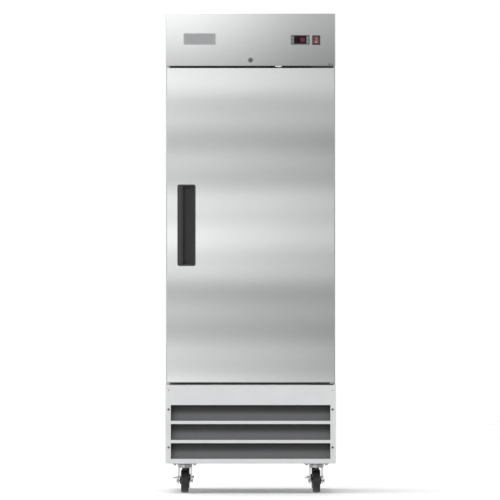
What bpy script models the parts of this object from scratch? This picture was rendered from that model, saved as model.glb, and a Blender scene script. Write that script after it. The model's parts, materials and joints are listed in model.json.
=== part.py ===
"""Single-door reach-in refrigerator on casters, modelled in Blender.

Metres, +Z up. The front faces -Y and the door is hinged on the +X side. The origin is on the floor under the
middle of the cabinet. Every named object is one sub-part; a moving one has its origin on its joint's axis."""

import math

import bmesh
import bpy
from mathutils import Matrix, Vector

# Overall size
HEIGHT = 2.085
DEPTH = 0.813
FRONT = -DEPTH / 2
BACK = DEPTH / 2
GAP = 0.0003
SHEET = 0.0015
BEYOND = 0.010

# Front elevation: header panel over the door over the grille panel
FACE = FRONT + 0.004
CASE_X = 0.368
DOOR_X = 0.363
GRILLE_X = 0.370
BASE_Z = 0.130
GRILLE_TOP = 0.471
DOOR_BOTTOM = 0.482
DOOR_TOP = 1.848
HEADER_Z = 1.857

# Cabinet section
CABINET_FACE = -0.334
CASE_RETURN = 0.022
CAVITY_X = 0.305
CAVITY_BACK = 0.341
CAVITY_TOP = 2.022
OPENING_BOTTOM = 0.545
OPENING_TOP = 1.785
LINTEL_BACK = -0.274
STANDARD_WIDTH = 0.024
STANDARD_DEPTH = 0.008
STANDARD_END = 0.015
STANDARD_YS = (-0.250, 0.270)

# Door
DOOR_BACK = -0.3465
GASKET_EDGE = 0.025
GASKET_WIDTH = 0.026
HINGE_X = 0.350
HINGE_Y = -0.384
HINGE_PIN_RADIUS = 0.004
HINGE_BORE_RADIUS = 0.0055
HINGE_PIN_DEPTH = 0.025
BRACKET_LEFT = 0.269
BRACKET_RIGHT = 0.358
BRACKET_THICK = 0.005
BRACKET_CLEARANCE = 0.0025
BRACKET_LEG = 0.045
BRACKET_MARGIN = 0.004
BRACKET_NOTCH_Y = -0.345
BRACKET_FRONT = -0.396

# Recessed pull
HANDLE_X = (-0.318, -0.239)
HANDLE_Z = (0.988, 1.342)
HANDLE_RIM = 0.005
HANDLE_PROUD = 0.002
HANDLE_DEPTH = 0.040
HANDLE_WALL = 0.0025
HANDLE_GRIP = 0.025
HANDLE_LIP = 0.006
HANDLE_CORNER = 0.008

# Controls in the header panel
CONTROLLER_X = (0.1745, 0.2565)
CONTROLLER_Z = (1.9490, 1.9920)
CONTROLLER_BODY = (0.077, 0.028, 0.058)
CONTROLLER_PROUD = 0.0035
CONTROLLER_CORNER = 0.006
BEZEL_ROOT = 0.001
WINDOW_SIZE = (0.0520, 0.0006, 0.0300)
BUTTON_SIZE = (0.0085, 0.0100)
BUTTON_OFFSET = (0.0330, 0.0078)
BUTTON_CORNER = 0.002
BUTTON_TRAVEL = 0.001
ROCKER_X = (0.2675, 0.3025)
ROCKER_Z = (1.9480, 1.9900)
ROCKER_OPENING = (0.0205, 0.0304)
ROCKER_BODY = (0.0275, 0.0360, 0.026)
ROCKER_PROUD = 0.0028
ROCKER_CORNER = 0.003
ROCKER_PIVOT_DEPTH = 0.0040
ROCKER_SECTION = (0.0044, 0.0032, 0.0040)
ROCKER_CLEARANCE = 0.0010
ROCKER_TILT = math.radians(10)
LOCK_Z = 1.882
LOCK_RADIUS = 0.0093
LOCK_FLANGE_RADIUS = 0.0115
LOCK_PROUD = 0.0025
LOCK_LENGTH = 0.0265
LOCK_PLUG_RADIUS = 0.0060
LOCK_CAM_REACH = 0.022
LOCK_CAM_THICK = 0.0022
KEYWAY_SIZE = (0.0014, 0.006, 0.0080)
SWITCH_X = (0.107, 0.135)
SWITCH_Y = (-0.4005, -0.3755)
SWITCH_FLANGE = 0.0040
SWITCH_TIP_GAP = 0.0020
SWITCH_BODY = (0.0220, 0.0200, 0.029)
SWITCH_BORE = 0.0045
SWITCH_RADIUS = 0.0040
CUTOUT_MARGIN = 0.0005

# Grille panel
GRILLE_OPENING_X = 0.347
GRILLE_OPENINGS = ((0.150, 0.219), (0.232, 0.302), (0.315, 0.3845))

LOUVER_SETBACK = 0.006
LOUVER_DEPTH = 0.040
LOUVER_AIR_GAP = 0.010

# Machine compartment
PAN_SHEET = 0.002
PAN_EDGE = 0.028
CONDENSER_X = (-0.300, 0.060)
CONDENSER_Y = (-0.300, -0.245)
CONDENSER_Z = (0.160, 0.440)
CONDENSER_FAN = 0.125
COMPRESSOR = (0.190, 0.120)
COMPRESSOR_FEET = (0.110, 0.080)
DISCHARGE_HEIGHT = 0.150
TRAY_X = (-0.300, 0.020)
TRAY_Y = (0.110, 0.380)
TRAY_TOP = 0.175
INLET_X = 0.325
INLET_Z = 0.190
INLET_RADIUS = 0.0115
VENT_ROWS = 8
VENT_PITCH = 0.030
VENT_SIZE = (0.260, 0.008)
VENT_COLUMN = 0.150

# Suction line, in a chase of the back wall
LINE_X = 0.230
LINE_Y = 0.374
LINE_Z = 1.930
LINE_CHASE = 0.012
LINE_RADIUS = 0.005
LINE_BEND = 0.012
CAPILLARY_RADIUS = 0.003
DRIER_Y = -0.190

# Inside
SHELF_X = 0.289
SHELF_Y = (-0.300, 0.305)
SHELF_HEIGHTS = {"shelf_lower": 0.700, "shelf_middle": 1.050, "shelf_upper": 1.400}
SHELF_WIRE = 0.005
SHELF_ROD = 0.008
SHELF_WIRES = 15
LIGHT_X = 0.150
LIGHT_Y = (-0.318, -0.290)
LIGHT_DEPTH = 0.016
COVER_X = 0.250
COVER_Y = (-0.100, 0.300)
COVER_BOTTOM = 1.803
COIL_X = 0.200
COIL_Y = (0.110, 0.270)
COIL_Z = (1.835, 2.005)
EVAPORATOR_FAN = 0.082
RETURN_SLOTS = 5

# Fans and their motors
FAN_BLADES = 5
FAN_BLADE_THICK = 0.0016
FAN_PITCH = math.radians(30)
FAN_CLEARANCE = 0.004
FAN_STRAP = 0.020
MOTOR_RADIUS = 0.030
SHAFT_RADIUS = 0.004

# Casters
CASTER_X = 0.287
CASTER_YS = {"front": -0.275, "rear": 0.315}
CASTER_SIDES = {"left": -1, "right": 1}
WHEEL_RADIUS = 0.0508
WHEEL_WIDTH = 0.033
CASTER_TRAIL = 0.035
CASTER_PLATE = (0.110, 0.090, 0.004)
RACE_RADIUS = 0.029
RACE_BOTTOM = 0.1135
FORK_TOP = RACE_BOTTOM - 2 * GAP
FORK_OUTER = 0.0280
FORK_SHEET = 0.0028
FORK_HALF_DEPTH = 0.021
FORK_SHOULDER = 0.021
FORK_FOOT = 0.013
HUB_CLEARANCE = 0.0035
AXLE_RADIUS = 0.0048
AXLE_OVERHANG = 0.0032
HEX_RADIUS = 0.0085
HEX_THICK = 0.005
BRAKE_SHEET = 0.0024
BRAKE_EYE = 0.0125
BRAKE_PEDAL_Z = (0.0625, 0.0690)
BRAKE_PEDAL_REACH = 0.022

COLOURS = {
    "stainless": ((0.62, 0.62, 0.61), 0.30, 1.0),
    "grille_grey": ((0.66, 0.67, 0.68), 0.42, 0.9),
    "louver_grey": ((0.11, 0.11, 0.12), 0.55, 0.3),
    "galvanised": ((0.50, 0.52, 0.53), 0.45, 0.9),
    "foam": ((0.80, 0.70, 0.45), 0.90, 0.0),
    "black_plastic": ((0.02, 0.02, 0.02), 0.40, 0.0),
    "grey_plastic": ((0.30, 0.31, 0.32), 0.45, 0.0),
    "white_plastic": ((0.80, 0.80, 0.78), 0.40, 0.0),
    "red_plastic": ((0.60, 0.03, 0.06), 0.25, 0.0),
    "grey_rubber": ((0.18, 0.18, 0.18), 0.70, 0.0),
    "black_rubber": ((0.02, 0.02, 0.02), 0.60, 0.0),
    "zinc": ((0.55, 0.56, 0.57), 0.35, 1.0),
    "chrome": ((0.75, 0.75, 0.75), 0.12, 1.0),
    "aluminium": ((0.70, 0.71, 0.72), 0.40, 1.0),
    "copper": ((0.72, 0.35, 0.20), 0.30, 1.0),
    "black_paint": ((0.02, 0.02, 0.02), 0.45, 0.0),
}


# ---- Shapes: each returns a temporary mesh object in world coordinates ----


def temporary(mesh):
    obj = bpy.data.objects.new("shape", mesh)
    bpy.context.scene.collection.objects.link(obj)
    return obj


def from_bmesh(shape):
    bmesh.ops.recalc_face_normals(shape, faces=shape.faces)
    mesh = bpy.data.meshes.new("shape")
    shape.to_mesh(mesh)
    shape.free()
    return temporary(mesh)


def block(x, y, z):
    """A box between the two values of each axis."""
    low = Vector((x[0], y[0], z[0]))
    high = Vector((x[1], y[1], z[1]))
    shape = bmesh.new()
    bmesh.ops.create_cube(shape, size=1.0)
    bmesh.ops.scale(shape, vec=high - low, verts=shape.verts)
    bmesh.ops.translate(shape, vec=(low + high) / 2, verts=shape.verts)
    return from_bmesh(shape)


def centred(centre, size):
    """A box of this size about a centre."""
    return block(*((c - s / 2, c + s / 2) for c, s in zip(centre, size)))


TURN = {
    "X": Matrix.Rotation(math.pi / 2, 4, "Y"),
    "Y": Matrix.Rotation(-math.pi / 2, 4, "X"),
    "Z": Matrix.Identity(4),
}


def rod(axis, centre, radius, length, sides=20):
    """A cylinder along X, Y or Z about a centre."""
    shape = bmesh.new()
    bmesh.ops.create_cone(
        shape,
        cap_ends=True,
        segments=sides,
        radius1=radius,
        radius2=radius,
        depth=length,
    )
    bmesh.ops.transform(shape, matrix=Matrix.Translation(centre) @ TURN[axis], verts=shape.verts)
    return from_bmesh(shape)


def turned(axis, centre, profile, sides=32):
    """A solid of revolution from a profile of (radius, height) points, given from one end to the other."""
    shape = bmesh.new()
    rings = []
    for radius, height in profile:
        if radius == 0:
            rings.append([shape.verts.new((0, 0, height))])
            continue
        angles = [2 * math.pi * k / sides for k in range(sides)]
        rings.append([shape.verts.new((radius * math.cos(a), radius * math.sin(a), height)) for a in angles])
    for lower, upper in zip(rings, rings[1:]):
        for k in range(sides):
            corners = [lower[k % len(lower)], lower[(k + 1) % len(lower)]]
            corners += [upper[(k + 1) % len(upper)], upper[k % len(upper)]]
            shape.faces.new(dict.fromkeys(corners))
    for ring in (rings[0], rings[-1]):
        if len(ring) > 2:
            shape.faces.new(ring)
    bmesh.ops.transform(shape, matrix=Matrix.Translation(centre) @ TURN[axis], verts=shape.verts)
    return from_bmesh(shape)


def prism(axis, outline, start, end):
    """An outline extruded along X, Y or Z; its two numbers are the other axes in the order X, Y, Z."""
    places = {"X": (1, 2), "Y": (0, 2), "Z": (0, 1)}[axis]
    along = "XYZ".index(axis)
    shape = bmesh.new()
    corners = []
    for point in outline:
        corner = [0.0, 0.0, 0.0]
        corner[along] = start
        corner[places[0]], corner[places[1]] = point
        corners.append(shape.verts.new(corner))
    face = shape.faces.new(corners)
    pushed = bmesh.ops.extrude_face_region(shape, geom=[face])["geom"]
    step = [0.0, 0.0, 0.0]
    step[along] = end - start
    bmesh.ops.translate(shape, vec=step, verts=[v for v in pushed if isinstance(v, bmesh.types.BMVert)])
    return from_bmesh(shape)


def pipe(points, radius):
    """An eight-sided tube swept through the points."""
    curve = bpy.data.curves.new("route", "CURVE")
    curve.dimensions = "3D"
    curve.bevel_depth = radius
    curve.bevel_resolution = 2
    curve.use_fill_caps = True
    spline = curve.splines.new("POLY")
    spline.points.add(len(points) - 1)
    for place, point in zip(spline.points, points):
        place.co = (*point, 1)
    route = temporary(curve)
    bpy.context.view_layer.update()
    mesh = bpy.data.meshes.new_from_object(route.evaluated_get(bpy.context.evaluated_depsgraph_get()))
    bpy.data.objects.remove(route)
    bpy.data.curves.remove(curve)
    shape = bmesh.new()
    shape.from_mesh(mesh)
    bpy.data.meshes.remove(mesh)
    bmesh.ops.remove_doubles(shape, verts=shape.verts, dist=1e-6)
    return from_bmesh(shape)


def rounded(points, radius, steps=3):
    """A route's points with each inner corner turned into an arc of this radius."""
    route = [Vector(points[0])]
    for before, corner, after in zip(points, points[1:], points[2:]):
        corner = Vector(corner)
        back = (Vector(before) - corner).normalized()
        ahead = (Vector(after) - corner).normalized()
        half = back.angle(ahead) / 2
        reach = radius / math.tan(half)
        centre = corner + (back + ahead).normalized() * radius / math.sin(half)
        start = (corner + back * reach - centre).normalized()
        end = (corner + ahead * reach - centre).normalized()
        for k in range(steps + 1):
            route.append(centre + start.slerp(end, k / steps) * radius)
    return route + [Vector(points[-1])]


def rounded_rectangle(x, z, radius, steps=4):
    """The outline of a rectangle with round corners."""
    outline = []
    corners = ((x[1], z[1], 0), (x[0], z[1], 1), (x[0], z[0], 2), (x[1], z[0], 3))
    for corner_x, corner_z, quarter in corners:
        centre_x = corner_x - math.copysign(radius, corner_x - sum(x) / 2)
        centre_z = corner_z - math.copysign(radius, corner_z - sum(z) / 2)
        for k in range(steps + 1):
            angle = math.pi / 2 * (quarter + k / steps)
            outline.append((centre_x + radius * math.cos(angle), centre_z + radius * math.sin(angle)))
    return outline


def tilted(shape, centre, axis, angle):
    """The shape turned about an axis through a centre."""
    centre = Vector(centre)
    turn = Matrix.Translation(centre) @ Matrix.Rotation(angle, 4, axis) @ Matrix.Translation(-centre)
    shape.data.transform(turn)
    return shape


# ---- Assembly helpers ----


def combine(base, shapes, operation):
    """The base with these shapes united with it or cut from it."""
    for shape in shapes:
        boolean = base.modifiers.new(operation, "BOOLEAN")
        boolean.object = shape
        boolean.operation = operation
        boolean.solver = "EXACT"
    bpy.context.view_layer.update()
    mesh = bpy.data.meshes.new_from_object(base.evaluated_get(bpy.context.evaluated_depsgraph_get()))
    for shape in (base, *shapes):
        old = shape.data
        bpy.data.objects.remove(shape)
        bpy.data.meshes.remove(old)
    return temporary(mesh)


def material_named(name):
    material = bpy.data.materials.get(name)
    if material is None:
        colour, roughness, metallic = COLOURS[name]
        material = bpy.data.materials.new(name)
        material.use_nodes = True
        shader = material.node_tree.nodes["Principled BSDF"]
        shader.inputs["Base Color"].default_value = (*colour, 1)
        shader.inputs["Roughness"].default_value = roughness
        shader.inputs["Metallic"].default_value = metallic
        material.diffuse_color = (*colour, 1)
    return material


def part(name, material, add, cut=(), origin=(0, 0, 0)):
    """One named sub-part: the first shape with the others united, the cuts taken away, and its origin set."""
    body = combine(add[0], add[1:], "UNION")
    if cut:
        body = combine(body, list(cut), "DIFFERENCE")
    body.name = name
    body.data.name = name
    body.data.transform(Matrix.Translation(-Vector(origin)))
    body.location = origin
    body.data.materials.clear()
    body.data.materials.append(material_named(material))
    body.data.shade_smooth()
    body.data.set_sharp_from_angle(angle=math.radians(35))
    return body


def shell(x, y, z, wall, open_sides=()):
    """The outer box and inner cutter of a sheet box; sides such as '-y' stay open."""
    outer = (x, y, z)
    inner = []
    for letter, (low, high) in zip("xyz", outer):
        low = low - BEYOND if "-" + letter in open_sides else low + wall
        high = high + BEYOND if "+" + letter in open_sides else high - wall
        inner.append((low, high))
    return block(*outer), block(*inner)


def both(half):
    """A range that is the same on both sides of the middle."""
    return (-half, half)


def about(value, half):
    """A range that reaches this far each way from a value."""
    return (value - half, value + half)


def middle(span):
    return sum(span) / 2


# ---- Cabinet ----


def outer_casing():
    """Sheet-steel sides, top, back and deck, with narrow returns round the door opening."""
    inside = both(CASE_X - SHEET)
    outside = block(both(CASE_X), (CABINET_FACE, BACK), (BASE_Z, HEIGHT))
    cabinet = block(inside, (CABINET_FACE + SHEET, BACK - SHEET), (GRILLE_TOP + SHEET, HEIGHT - SHEET))
    opening = block(
        both(CASE_X - CASE_RETURN),
        about(CABINET_FACE, BEYOND),
        (GRILLE_TOP + CASE_RETURN, HEIGHT - CASE_RETURN),
    )
    machine_room = block(inside, (CABINET_FACE - BEYOND, BACK + BEYOND), (BASE_Z - BEYOND, GRILLE_TOP))
    line_hole = rod("Z", (LINE_X, LINE_Y, GRILLE_TOP), LINE_CHASE, BEYOND)
    part("outer_casing", "stainless", [outside], [cabinet, opening, machine_room, line_hole])


def liner_outline(grow):
    """The inside of the cabinet: the room behind the door, and the taller bay behind the lintel."""
    room = block(
        both(CAVITY_X + grow),
        (CABINET_FACE - 2 * BEYOND, CAVITY_BACK + grow),
        (OPENING_BOTTOM - grow, OPENING_TOP + grow),
    )
    bay = block(
        both(CAVITY_X + grow),
        (LINTEL_BACK - grow, CAVITY_BACK + grow),
        (OPENING_TOP - BEYOND, CAVITY_TOP + grow),
    )
    return combine(room, [bay], "UNION")


def foam_insulation():
    """Foamed walls between the casing and the liner."""
    skin = SHEET + GAP
    walls = block(
        both(CASE_X - skin),
        (CABINET_FACE + skin, BACK - skin),
        (GRILLE_TOP + skin, HEIGHT - skin),
    )
    across = about(LINE_X, LINE_CHASE)
    chase = block(across, (LINE_Y - LINE_CHASE, BACK), (GRILLE_TOP, LINE_Z + LINE_CHASE))
    port = block(across, (CAVITY_BACK - BEYOND, BACK), about(LINE_Z, LINE_CHASE))
    part("foam_insulation", "foam", [walls], [liner_outline(skin), chase, port])


def inner_liner():
    """Stainless inner box with a front flange that the gasket seals on, and four slotted shelf standards."""
    in_front = block(both(1), (CABINET_FACE - 1, CABINET_FACE), (0, HEIGHT))
    outer = combine(liner_outline(SHEET), [in_front], "DIFFERENCE")
    flange = block(
        both(CASE_X - CASE_RETURN - GAP),
        (CABINET_FACE, CABINET_FACE + SHEET),
        (GRILLE_TOP + CASE_RETURN + GAP, HEIGHT - CASE_RETURN - GAP),
    )
    port = rod("Y", (LINE_X, CAVITY_BACK, LINE_Z), LINE_CHASE, 2 * BEYOND)
    liner = combine(outer, [flange], "UNION")
    liner = combine(liner, [liner_outline(0), port], "DIFFERENCE")
    standards = []
    for side in (-1, 1):
        for y in STANDARD_YS:
            wall = sorted((side * (CAVITY_X - STANDARD_DEPTH), side * (CAVITY_X + SHEET / 2)))
            height = (OPENING_BOTTOM + STANDARD_END, OPENING_TOP - STANDARD_END)
            standards.append(block(wall, about(y, STANDARD_WIDTH / 2), height))
    part("inner_liner", "stainless", [liner, *standards])


def base_frame():
    """Pan with turned-up edges that carries the machine compartment and takes the casters."""
    inside = CASE_X - SHEET - GAP
    depth = (CABINET_FACE + GAP, BACK - SHEET - GAP)
    pan, hollow = shell(both(inside), depth, (BASE_Z, BASE_Z + PAN_EDGE), PAN_SHEET, ("+z",))
    part("base_frame", "galvanised", [pan], [hollow])


def header_panel():
    """Shallow stainless box that carries the controls, open to the cabinet."""
    panel, hollow = shell(both(CASE_X), (FACE, CABINET_FACE - GAP), (HEADER_Z, HEIGHT), SHEET, ("+y",))
    cuts = [hollow, rod("Y", (0, FACE, LOCK_Z), LOCK_RADIUS + CUTOUT_MARGIN, 2 * BEYOND)]
    for span_x, span_z, body in (
        (CONTROLLER_X, CONTROLLER_Z, CONTROLLER_BODY),
        (ROCKER_X, ROCKER_Z, ROCKER_BODY),
    ):
        size = (body[0] + 2 * CUTOUT_MARGIN, 2 * BEYOND, body[1] + 2 * CUTOUT_MARGIN)
        cuts.append(centred((middle(span_x), FACE, middle(span_z)), size))
    switch_size = (SWITCH_BODY[0] + 2 * CUTOUT_MARGIN, SWITCH_BODY[1] + 2 * CUTOUT_MARGIN, 2 * BEYOND)
    cuts.append(centred((middle(SWITCH_X), middle(SWITCH_Y), HEADER_Z), switch_size))
    cuts.append(bracket_slot(HEADER_Z))
    part("header_panel", "stainless", [panel], cuts)


def bracket_slot(height):
    """The notch in a panel's edge that a hinge bracket's upright leg passes through."""
    across = (BRACKET_LEFT - BRACKET_MARGIN, BRACKET_RIGHT + BRACKET_MARGIN)
    return block(across, (BRACKET_NOTCH_Y, CABINET_FACE + BEYOND), about(height, BEYOND))


def grille_panel():
    """Lower front panel with three wide openings."""
    panel, hollow = shell(both(GRILLE_X), (FACE, CABINET_FACE - GAP), (BASE_Z, GRILLE_TOP), SHEET, ("+y",))
    cuts = [hollow]
    cuts += [block(both(GRILLE_OPENING_X), about(FACE, BEYOND), opening) for opening in GRILLE_OPENINGS]
    cuts.append(bracket_slot(GRILLE_TOP))
    part("grille_panel", "grille_grey", [panel], cuts)


def louver_insert():
    """Sloping blades behind the openings, low edge forward, held by a rail at each end."""
    front = FACE + SHEET + LOUVER_SETBACK
    back = front + LOUVER_DEPTH
    rail = 0.002
    rails = []
    for side in (-1, 1):
        x = sorted((side * (GRILLE_OPENING_X + 2 * rail), side * (GRILLE_OPENING_X + 3 * rail)))
        height = (GRILLE_OPENINGS[0][0] - 0.008, GRILLE_OPENINGS[-1][1] + 0.025)
        rails.append(block(x, (front - rail, back + rail), height))
    blades = []
    for low, high in GRILLE_OPENINGS:
        bottom = (low - rail, high - LOUVER_AIR_GAP)
        outline = [(front, bottom[0] - rail / 2), (back, bottom[1] - rail / 2)]
        outline += [(back, bottom[1] + rail / 2), (front, bottom[0] + rail / 2)]
        reach = GRILLE_OPENING_X + 2.5 * rail
        blades.append(prism("X", outline, -reach, reach))
    part("louver_insert", "louver_grey", rails + blades)


def rear_grille():
    """Removable slotted cover of the machine compartment."""
    cover = block(both(CASE_X - SHEET - 2 * GAP), (BACK - SHEET, BACK), (BASE_Z + GAP, GRILLE_TOP - GAP))
    slots = [rod("Y", (INLET_X, BACK, INLET_Z), INLET_RADIUS + 3 * CUTOUT_MARGIN, 2 * BEYOND)]
    first_row = middle((BASE_Z, GRILLE_TOP)) - VENT_PITCH * (VENT_ROWS - 1) / 2
    for side in (-1, 1):
        for row in range(VENT_ROWS):
            centre = (side * VENT_COLUMN, BACK, first_row + VENT_PITCH * row)
            slots.append(centred(centre, (VENT_SIZE[0], 2 * BEYOND, VENT_SIZE[1])))
    part("rear_grille", "galvanised", [cover], slots)


def power_inlet():
    """Strain-relief gland in the rear grille, its flange on the inner side."""
    depth = 0.025
    flange_depth = 0.003
    flange_y = BACK - SHEET - GAP - flange_depth / 2
    flange = rod("Y", (INLET_X, flange_y, INLET_Z), 1.5 * INLET_RADIUS, flange_depth, 16)
    centre = (INLET_X, BACK - depth / 2, INLET_Z)
    barrel = rod("Y", centre, INLET_RADIUS, depth, 16)
    bore = rod("Y", centre, INLET_RADIUS / 2, 2 * depth, 12)
    part("power_inlet", "black_plastic", [barrel, flange], [bore])


# ---- Door ----


def door():
    """Insulated leaf: folded skin, foam core, inner liner, gasket and recessed pull, hung on two pins."""
    pivot = (HINGE_X, HINGE_Y, DOOR_BOTTOM)
    skin_x, skin_z = both(DOOR_X), (DOOR_BOTTOM, DOOR_TOP)
    pocket_x = (HANDLE_X[0] + HANDLE_RIM, HANDLE_X[1] - HANDLE_RIM)
    pocket_z = (HANDLE_Z[0] + HANDLE_RIM, HANDLE_Z[1] - HANDLE_RIM)
    pocket_y = FACE + HANDLE_DEPTH

    def pin_bores():
        return [rod("Z", (HINGE_X, HINGE_Y, z), HINGE_BORE_RADIUS, 2.5 * HINGE_PIN_DEPTH) for z in skin_z]

    def pocket_hole(margin):
        return block(
            (pocket_x[0] - margin, pocket_x[1] + margin),
            (FACE - BEYOND, pocket_y + margin),
            (pocket_z[0] - margin, pocket_z[1] + margin),
        )

    outer, hollow = shell(skin_x, (FACE, DOOR_BACK), skin_z, SHEET, ("+y",))
    skin = part("door_skin", "stainless", [outer], [hollow, pocket_hole(GAP), *pin_bores()], pivot)

    inset = SHEET + GAP
    leaf_x, leaf_z = both(DOOR_X - inset), (DOOR_BOTTOM + inset, DOOR_TOP - inset)
    foam = block(leaf_x, (FACE + inset, DOOR_BACK - SHEET - GAP), leaf_z)
    core = part("door_core", "foam", [foam], [pocket_hole(GAP), *pin_bores()], pivot)

    inner_sheet = block(leaf_x, (DOOR_BACK - SHEET, DOOR_BACK), leaf_z)
    liner = part("door_liner", "stainless", [inner_sheet], origin=pivot)

    gasket_y = (DOOR_BACK + GAP, CABINET_FACE - GAP)
    outside = (DOOR_X - GASKET_EDGE, DOOR_BOTTOM + GASKET_EDGE, DOOR_TOP - GASKET_EDGE)
    ring = block(both(outside[0]), gasket_y, outside[1:])
    window = block(
        both(outside[0] - GASKET_WIDTH),
        (DOOR_BACK - BEYOND, CABINET_FACE + BEYOND),
        (outside[1] + GASKET_WIDTH, outside[2] - GASKET_WIDTH),
    )
    gasket = part("door_gasket", "grey_rubber", [ring], [window], pivot)

    rim_outline = rounded_rectangle(HANDLE_X, HANDLE_Z, HANDLE_CORNER)
    rim = prism("Y", rim_outline, FACE - HANDLE_PROUD, FACE - GAP)
    body = block(pocket_x, (FACE - HANDLE_PROUD / 2, pocket_y), pocket_z)
    inner_x = (pocket_x[0] + HANDLE_WALL, pocket_x[1] - HANDLE_WALL)
    inner_z = (pocket_z[0] + HANDLE_WALL, pocket_z[1] - HANDLE_WALL)
    mouth_x = (HANDLE_X[0] + HANDLE_GRIP, inner_x[1])
    mouth = block(mouth_x, (FACE - BEYOND, pocket_y - HANDLE_WALL), inner_z)
    undercut = block(inner_x, (FACE + HANDLE_LIP, pocket_y - HANDLE_WALL), inner_z)
    handle = part("door_handle", "black_plastic", [rim, body], [mouth, undercut], pivot)
    for piece in (core, liner, gasket, handle):
        piece.parent = skin
        piece.location = (0, 0, 0)


def bracket_plates(plate_z, leg_z):
    """A hinge bracket's level plate, and the leg that is screwed to the cabinet's face."""
    across = (BRACKET_LEFT, BRACKET_RIGHT)
    root = CABINET_FACE - GAP
    return [block(across, (BRACKET_FRONT, root), plate_z), block(across, (root - BRACKET_THICK, root), leg_z)]


def upright(centre_xy, span, radius, sides=20):
    """A vertical cylinder between two heights."""
    return rod("Z", (*centre_xy, middle(span)), radius, span[1] - span[0], sides)


def hinges():
    """Angle brackets above and below the door; the upper pin is riveted, the lower one loose."""
    pivot = (HINGE_X, HINGE_Y)
    top = DOOR_TOP + BRACKET_CLEARANCE
    plates = bracket_plates((top, top + BRACKET_THICK), (top, top + BRACKET_LEG))
    pin = upright(pivot, (DOOR_TOP - HINGE_PIN_DEPTH, top + BRACKET_THICK / 4), HINGE_PIN_RADIUS)
    part("upper_hinge_bracket", "black_paint", [*plates, pin])

    low = GRILLE_TOP + BRACKET_CLEARANCE - 2 * GAP
    plate_top = low + BRACKET_THICK
    plates = bracket_plates((low, plate_top), (low - BRACKET_LEG, low + BRACKET_LEG / 2))
    hole = upright(pivot, about(low, BEYOND), HINGE_PIN_RADIUS + GAP)
    part("lower_hinge_bracket", "black_paint", plates, [hole])

    shank = upright(pivot, (low, DOOR_BOTTOM + HINGE_PIN_DEPTH), HINGE_PIN_RADIUS)
    collar = upright(pivot, (plate_top + GAP, DOOR_BOTTOM - 2 * GAP), 2 * HINGE_PIN_RADIUS)
    part("lower_hinge_pin", "chrome", [shank, collar])


# ---- Header controls ----


def snap_in_body(span_x, span_z, body):
    """The block of a control that passes through the panel, rooted inside its bezel."""
    centre = (middle(span_x), FACE - BEZEL_ROOT + body[2] / 2, middle(span_z))
    return centred(centre, (body[0], body[2], body[1]))


def controller():
    """Digital thermostat: bezel and body in one housing, with two buttons on each side of the window."""
    centre_x, centre_z = middle(CONTROLLER_X), middle(CONTROLLER_Z)
    front = FACE - CONTROLLER_PROUD
    bezel = prism("Y", rounded_rectangle(CONTROLLER_X, CONTROLLER_Z, CONTROLLER_CORNER), front, FACE - GAP)
    body = snap_in_body(CONTROLLER_X, CONTROLLER_Z, CONTROLLER_BODY)
    floor = FACE + BUTTON_TRAVEL
    width, depth, height = WINDOW_SIZE
    recesses = [centred((centre_x, front, centre_z), (width, 2 * depth, height))]
    for side, way in (("left", -1), ("right", 1)):
        for level, rise in (("lower", -1), ("upper", 1)):
            x = centre_x + way * BUTTON_OFFSET[0]
            z = centre_z + rise * BUTTON_OFFSET[1]
            span_x, span_z = about(x, BUTTON_SIZE[0] / 2), about(z, BUTTON_SIZE[1] / 2)
            face = rounded_rectangle(span_x, span_z, BUTTON_CORNER, 3)
            cap = prism("Y", face, FRONT, FACE - BUTTON_TRAVEL / 2)
            part(f"set_button_{level}_{side}", "grey_plastic", [cap], origin=(x, FRONT, z))
            hole_x, hole_z = about(x, BUTTON_SIZE[0] / 2 + GAP), about(z, BUTTON_SIZE[1] / 2 + GAP)
            recesses.append(block(hole_x, (FRONT - BEYOND, floor), hole_z))
    part("controller_housing", "grey_plastic", [bezel, body], recesses)


def rocker_switch():
    """Lighted rocker in a snap-in frame; at rest its upper half is pressed in."""
    centre_x, centre_z = middle(ROCKER_X), middle(ROCKER_Z)
    frame = prism("Y", rounded_rectangle(ROCKER_X, ROCKER_Z, ROCKER_CORNER), FACE - ROCKER_PROUD, FACE - GAP)
    body = snap_in_body(ROCKER_X, ROCKER_Z, ROCKER_BODY)
    wide, tall = ROCKER_OPENING
    hole = centred((centre_x, FACE, centre_z), (wide, 4 * BEYOND, tall))
    part("rocker_switch_housing", "black_plastic", [frame, body], [hole])

    pivot = (centre_x, FACE + ROCKER_PIVOT_DEPTH, centre_z)
    half = tall / 2 - ROCKER_CLEARANCE
    nose, waist, heel = ROCKER_SECTION
    outline = ((-nose, half), (-waist, 0), (-nose, -half), (heel, -half), (heel, half))
    outline = [(pivot[1] + y, pivot[2] + z) for y, z in outline]
    reach = wide / 2 - GAP
    cap = prism("X", outline, centre_x - reach, centre_x + reach)
    part("power_rocker", "red_plastic", [tilted(cap, pivot, "X", -ROCKER_TILT)], origin=pivot)


def lengthwise(span, radius, sides=28):
    """A cylinder along Y on the lock's axis."""
    return rod("Y", (0, middle(span), LOCK_Z), radius, span[1] - span[0], sides)


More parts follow.
